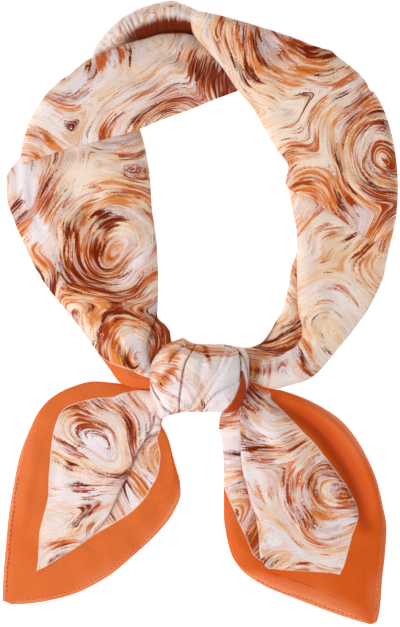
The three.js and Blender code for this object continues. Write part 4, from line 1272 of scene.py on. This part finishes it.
def printed(tree, cloth, place, dense, hairs, gaps):
    """The ground colour with all strokes. A stroke is there where the sum of its own noise, the
    hairs and the density passes its threshold."""
    tone = add(tree, "TexNoise", {"Vector": cloth, "Scale": GROUND_PATCHES, "Detail": 1.0})
    tone = add(tree, "MapRange", {"Value": tone, "From Min": 0.48, "From Max": 0.64})
    cool = add(tree, "Attribute", attribute_name="cool").outputs["Fac"]
    tone = add(tree, "Math", {0: tone, 1: cool}, operation="ADD", use_clamp=True)
    colour = add(tree, "Mix", {"Factor": tone, "A": CREAM, "B": LILAC}, data_type="RGBA")
    for width, length, offset, start, full, ragged, bristles, follows, strength, code in STROKES:
        stroke = {0: place, 1: (CELL / width, 1 / length, 1 / length), 2: (offset,) * 3}
        stroke = add(tree, "VectorMath", stroke, operation="MULTIPLY_ADD")
        stroke = add(tree, "TexNoise", {"Vector": stroke, "Scale": 1.0, "Detail": 0.6})
        for part, amount in ((hairs.outputs[bristles], ragged), (dense, DENSITY * follows)):
            stroke = add(tree, "Math", {0: part, 1: amount, 2: stroke}, operation="MULTIPLY_ADD")
        stroke = {"Value": stroke, "From Min": start + ragged / 2, "From Max": full + ragged / 2,
                  "To Max": strength}
        stroke = add(tree, "MapRange", stroke, interpolation_type="SMOOTHSTEP")
        stroke = add(tree, "Math", {0: stroke, 1: gaps}, operation="MULTIPLY")
        stroke = {"Factor": stroke, "A": colour, "B": linear(code)}
        colour = add(tree, "Mix", stroke, data_type="RGBA")
    return colour


# %% [markdown]
# ## The plain border
#
# Outside the print the cloth is dyed in one orange, with soft patches of lighter and darker orange.
# A painted sheen makes it lighter on the left, towards the key light, and a painted highlight pales
# it towards the hem in long patches, where the edge is rolled, and once more over the doubled hem.

# %% Border colours
# The border's orange with a painted sheen, as it shows on the left towards the key light, the same
# orange without it, as on the right, and the paler orange of a painted highlight along the hem
BORDER, BORDER_DEEP, RIM_SHEEN = linear("#DD6D33"), linear("#D85A18"), linear("#EC8A5C")
# Soft patches of lighter and darker orange, and long patches that break up the painted highlight
BORDER_PATCHES, SHEEN_STREAKS = 19.0, 16.0  # patches per metre, 53 and 62 mm each
print("the border's orange in linear light:", [round(v, 2) for v in BORDER[:3]])


def plain_border(tree, cloth, hem):
    """The border's colour, with its painted sheen and highlight, and where the hem is doubled, from
    the distance to the hem in mm.
    """
    patches_and_sheen = add(tree, "TexNoise", {"Vector": cloth, "Scale": BORDER_PATCHES, "Detail": 2.5})
    patches_and_sheen = add(tree, "Math", {0: patches_and_sheen, 1: 2.4, 2: -1.2}, operation="MULTIPLY_ADD")
    # Painted sheen: lighter towards the left, the side of the key light
    right = add(tree, "SeparateXYZ", {0: add(tree, "TexCoord").outputs["Object"]})
    away_from_light = add(tree, "MapRange", {"Value": right, "From Min": -0.05, "From Max": 0.07})
    patches_and_sheen = add(tree, "Math", {0: away_from_light, 1: patches_and_sheen}, operation="ADD")
    border = add(tree, "Mix", {"Factor": patches_and_sheen, "A": BORDER, "B": BORDER_DEEP}, data_type="RGBA")
    doubled = add(tree, "MapRange", {"Value": hem, "From Min": 2.6, "From Max": 1.6})
    # Painted highlight on the rolled edge towards the hem, in long patches, stronger over the doubled
    # hem
    rim = {"Value": hem, "From Min": 8.0, "From Max": 1.0, "To Max": 0.75}
    rim = add(tree, "MapRange", rim)
    streak = add(tree, "TexNoise", {"Vector": cloth, "Scale": SHEEN_STREAKS, "Detail": 1.0})
    streak = add(tree, "MapRange", {"Value": streak, "From Min": 0.42, "From Max": 0.62})
    rim = add(tree, "Math", {0: rim, 1: streak}, operation="MULTIPLY")
    rim = add(tree, "Math", {0: doubled, 1: 0.45, 2: rim}, operation="MULTIPLY_ADD")
    return add(tree, "Mix", {"Factor": rim, "A": border, "B": RIM_SHEEN}, data_type="RGBA"), doubled


# %% [markdown]
# ## The whole cloth
#
# The print ends at the border in a thin pale line, where the orange was laid beside the ground.
# Creases pulled shut, pockets and places under edges get painted shade, a dark brown in the print
# and a deep orange in the border.
# The height for the bump holds three things: the twill's rib, a faint crinkle and the step of the
# doubled hem. Silk has no hard highlight, so its roughness is middling and its gloss low.

# %% Silk material
# Colours of painted shade: in the print and in the border
CREASE_SHADE, BORDER_SHADE = linear("#7A2E14"), linear("#A83210")
TWILL_RIB = 0.0013  # m; real ribs are 0.4 mm apart, drawn coarser so that they show
WAVE_REPEAT = 0.444  # m from one rib to the next in a diagonal wave of scale 1
CRINKLE = 110.0  # per metre, 9 mm each
# Heights in m
RIB_HEIGHT, CRINKLE_HEIGHT, HEM_STEP = 0.00005, 0.0007, 0.0004


def printed_silk():
    """Silk twill with the marbled print, the plain border and the hem."""
    silk, tree, shader = new_material("printed_silk_twill")
    cloth = add(tree, "UVMap", uv_map="cloth")
    hem = add(tree, "Attribute", attribute_name="hem_mm").outputs["Fac"]
    shade = add(tree, "Attribute", attribute_name="shade").outputs["Fac"]
    grain = add(tree, "TexNoise", {"Vector": cloth, "Scale": GRAIN, "Detail": 1.0})
    place, dense = print_places(tree, cloth)
    hairs, gaps = brush(tree, place, grain)
    colour = printed(tree, cloth, place, dense, hairs, gaps)
    border, doubled = plain_border(tree, cloth, hem)

    edge = {"From Min": BORDER_WIDTH + 1.3, "From Max": BORDER_WIDTH + 0.5, "To Max": 0.5}
    edge = add(tree, "MapRange", {"Value": hem, **edge})
    colour = add(tree, "Mix", {"Factor": edge, "A": colour, "B": CREAM}, data_type="RGBA")
    inside = {"Value": hem, "From Min": BORDER_WIDTH - 0.2, "From Max": BORDER_WIDTH + 0.2}
    inside = add(tree, "MapRange", inside)
    colour = add(tree, "Mix", {"Factor": inside, "A": border, "B": colour}, data_type="RGBA")
    threads = {"Value": grain, "From Min": 0.3, "From Max": 0.7, "To Min": 0.90, "To Max": 1.06}
    threads = add(tree, "MapRange", threads)
    colour = add(tree, "VectorMath", {0: colour, "Scale": threads}, operation="SCALE")

    # Painted shade from the shade attribute, broken by the brush gaps in the print, whole in the
    # border
    broken = {"Value": gaps, "From Min": 0.25, "From Max": 1.0, "To Min": 0.65, "To Max": 1.05}
    broken = add(tree, "MapRange", broken)
    plain = add(tree, "Math", {0: 1.0, 1: inside}, operation="SUBTRACT")
    broken = add(tree, "Math", {0: broken, 1: plain}, operation="MAXIMUM")
    shade = add(tree, "Math", {0: shade, 1: broken}, operation="MULTIPLY", use_clamp=True)
    dark = {"Factor": inside, "A": BORDER_SHADE, "B": CREASE_SHADE}
    dark = add(tree, "Mix", dark, data_type="RGBA")
    colour = add(tree, "Mix", {"Factor": shade, "A": colour, "B": dark}, data_type="RGBA")

    rib = {"Vector": cloth, "Scale": WAVE_REPEAT / TWILL_RIB, "Distortion": 0.6, "Detail": 1.0}
    rib = add(tree, "TexWave", rib, wave_type="BANDS", bands_direction="DIAGONAL")
    crinkle = add(tree, "TexNoise", {"Vector": cloth, "Scale": CRINKLE, "Detail": 3.0})
    height = 0.0
    for part, high in ((crinkle, CRINKLE_HEIGHT), (rib, RIB_HEIGHT), (doubled, HEM_STEP)):
        height = add(tree, "Math", {0: part, 1: high, 2: height}, operation="MULTIPLY_ADD")
    bump = add(tree, "Bump", {"Height": height, "Distance": 1.0, "Strength": 0.5})
    feed(tree, shader, {"Base Color": colour, "Normal": bump})
    feed(tree, shader, {"Roughness": 0.5, "IOR": 1.5, "Specular IOR Level": 0.06})
    return silk


silk = printed_silk()
print("silk has", len(silk.node_tree.nodes), "nodes")

# %% [markdown]
# ## Sewing thread
#
# The hem is sewn with a dyed polyester thread, a shade darker and redder than the border, with a
# soft shine.

# %% Thread material
FIBRES = 2500.0  # per metre, one every 0.4 mm


def sewing_thread():
    """Dyed spun thread, fuzzy enough to have no sharp highlight."""
    thread, tree, shader = new_material("dyed_sewing_thread")
    place = add(tree, "TexCoord").outputs["Object"]
    fibre = add(tree, "TexNoise", {"Vector": place, "Scale": FIBRES, "Detail": 1.0})
    tint = {"Factor": fibre, "A": linear("#9C3410"), "B": linear("#B84C24")}
    tint = add(tree, "Mix", tint, data_type="RGBA")
    feed(tree, shader, {"Base Color": tint, "Roughness": 0.7, "Sheen Weight": 0.2})
    return thread


thread = sewing_thread()
print("thread has", len(thread.node_tree.nodes), "nodes")

# %% [markdown]
#
# Every piece gets its material and rides on the scarf's one body. All but the stitches stand for a
# CAD node.

# %% Materials and bodies
PIECES = [
    (neck_band, "neck_band", "printed_silk"),
    (back_fold, "back_fold", "printed_silk"),
    (inner_leaf, "inner_leaf", "printed_silk"),
    (knot, "knot", "printed_silk"),
    (left_end, "left_end", "bordered_silk"),
    (right_end, "right_end", "bordered_silk"),
    (hem_stitches, None, "bordered_silk"),
]
for piece, node, slot in PIECES:
    piece.data.materials.append(silk if node else thread)
    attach(piece, "root")
    if node:
        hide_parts(node)
print(len(PIECES), "pieces ride on the scarf")

# %% [markdown]
# ## Floor, light and camera
#
# The scarf lies on white studio paper and is seen from straight above. A long lens keeps the
# outline true, a large soft light from the lower left models the folds, a weak one opposite and
# the pale world fill the shadows, and the paper glows a little, so that it stays white.

# %% Stage
paper, tree, shader = new_material("pale_studio_paper")
WHITE = linear("#FFFFFF")
feed(tree, shader, {"Base Color": WHITE, "Roughness": 0.9})
feed(tree, shader, {"Emission Color": WHITE, "Emission Strength": 0.6})
HALF_FLOOR = 3  # m
sides = [(-1, -1), (1, -1), (1, 1), (-1, 1)]
floor_mesh = bpy.data.meshes.new("floor")
corners = [(x * HALF_FLOOR, y * HALF_FLOOR, 0) for x, y in sides]
floor_mesh.from_pydata(corners, [], [(0, 1, 2, 3)])
floor_mesh.materials.append(paper)
floor = show("floor", floor_mesh)

world = bpy.data.worlds.new("studio")
world.use_nodes = True
background = world.node_tree.nodes["Background"]
feed(world.node_tree, background, {"Color": WHITE, "Strength": 0.48})
bpy.context.scene.world = world
bpy.context.scene.view_settings.view_transform = "Standard"

# Each light: its place, the length of its sides in m and its power in W
LIGHTS = {"key": ((-0.95, -0.65, 1.0), 0.8, 15.5), "fill": ((0.5, 0.5, 1.4), 1.2, 3)}
for name, (place, size, power) in LIGHTS.items():
    light = bpy.data.lights.new(name, "AREA")
    light.size, light.energy = size, power
    lamp = show(name, light)
    lamp.location = place
    lamp.rotation_mode = "QUATERNION"
    lamp.rotation_quaternion = Vector(place).to_track_quat("Z", "Y")

FRAME_HEIGHT = 0.3935  # m of the table that the picture's height shows
LENS, SENSOR = 180.0, 36.0  # mm
SCARF_MIDDLE = (0.0, -0.0005, 0.006)  # m, on the camera's axis and halfway up the band
camera_data = bpy.data.cameras.new("camera")
camera_data.lens, camera_data.sensor_width, camera_data.clip_end = LENS, SENSOR, 20
camera = show("camera", camera_data)
camera.location = Vector(SCARF_MIDDLE) + Vector((0, 0, FRAME_HEIGHT * LENS / SENSOR))
bpy.context.scene.camera = camera
print("camera", round(camera.location.z, 3), "m above the table")
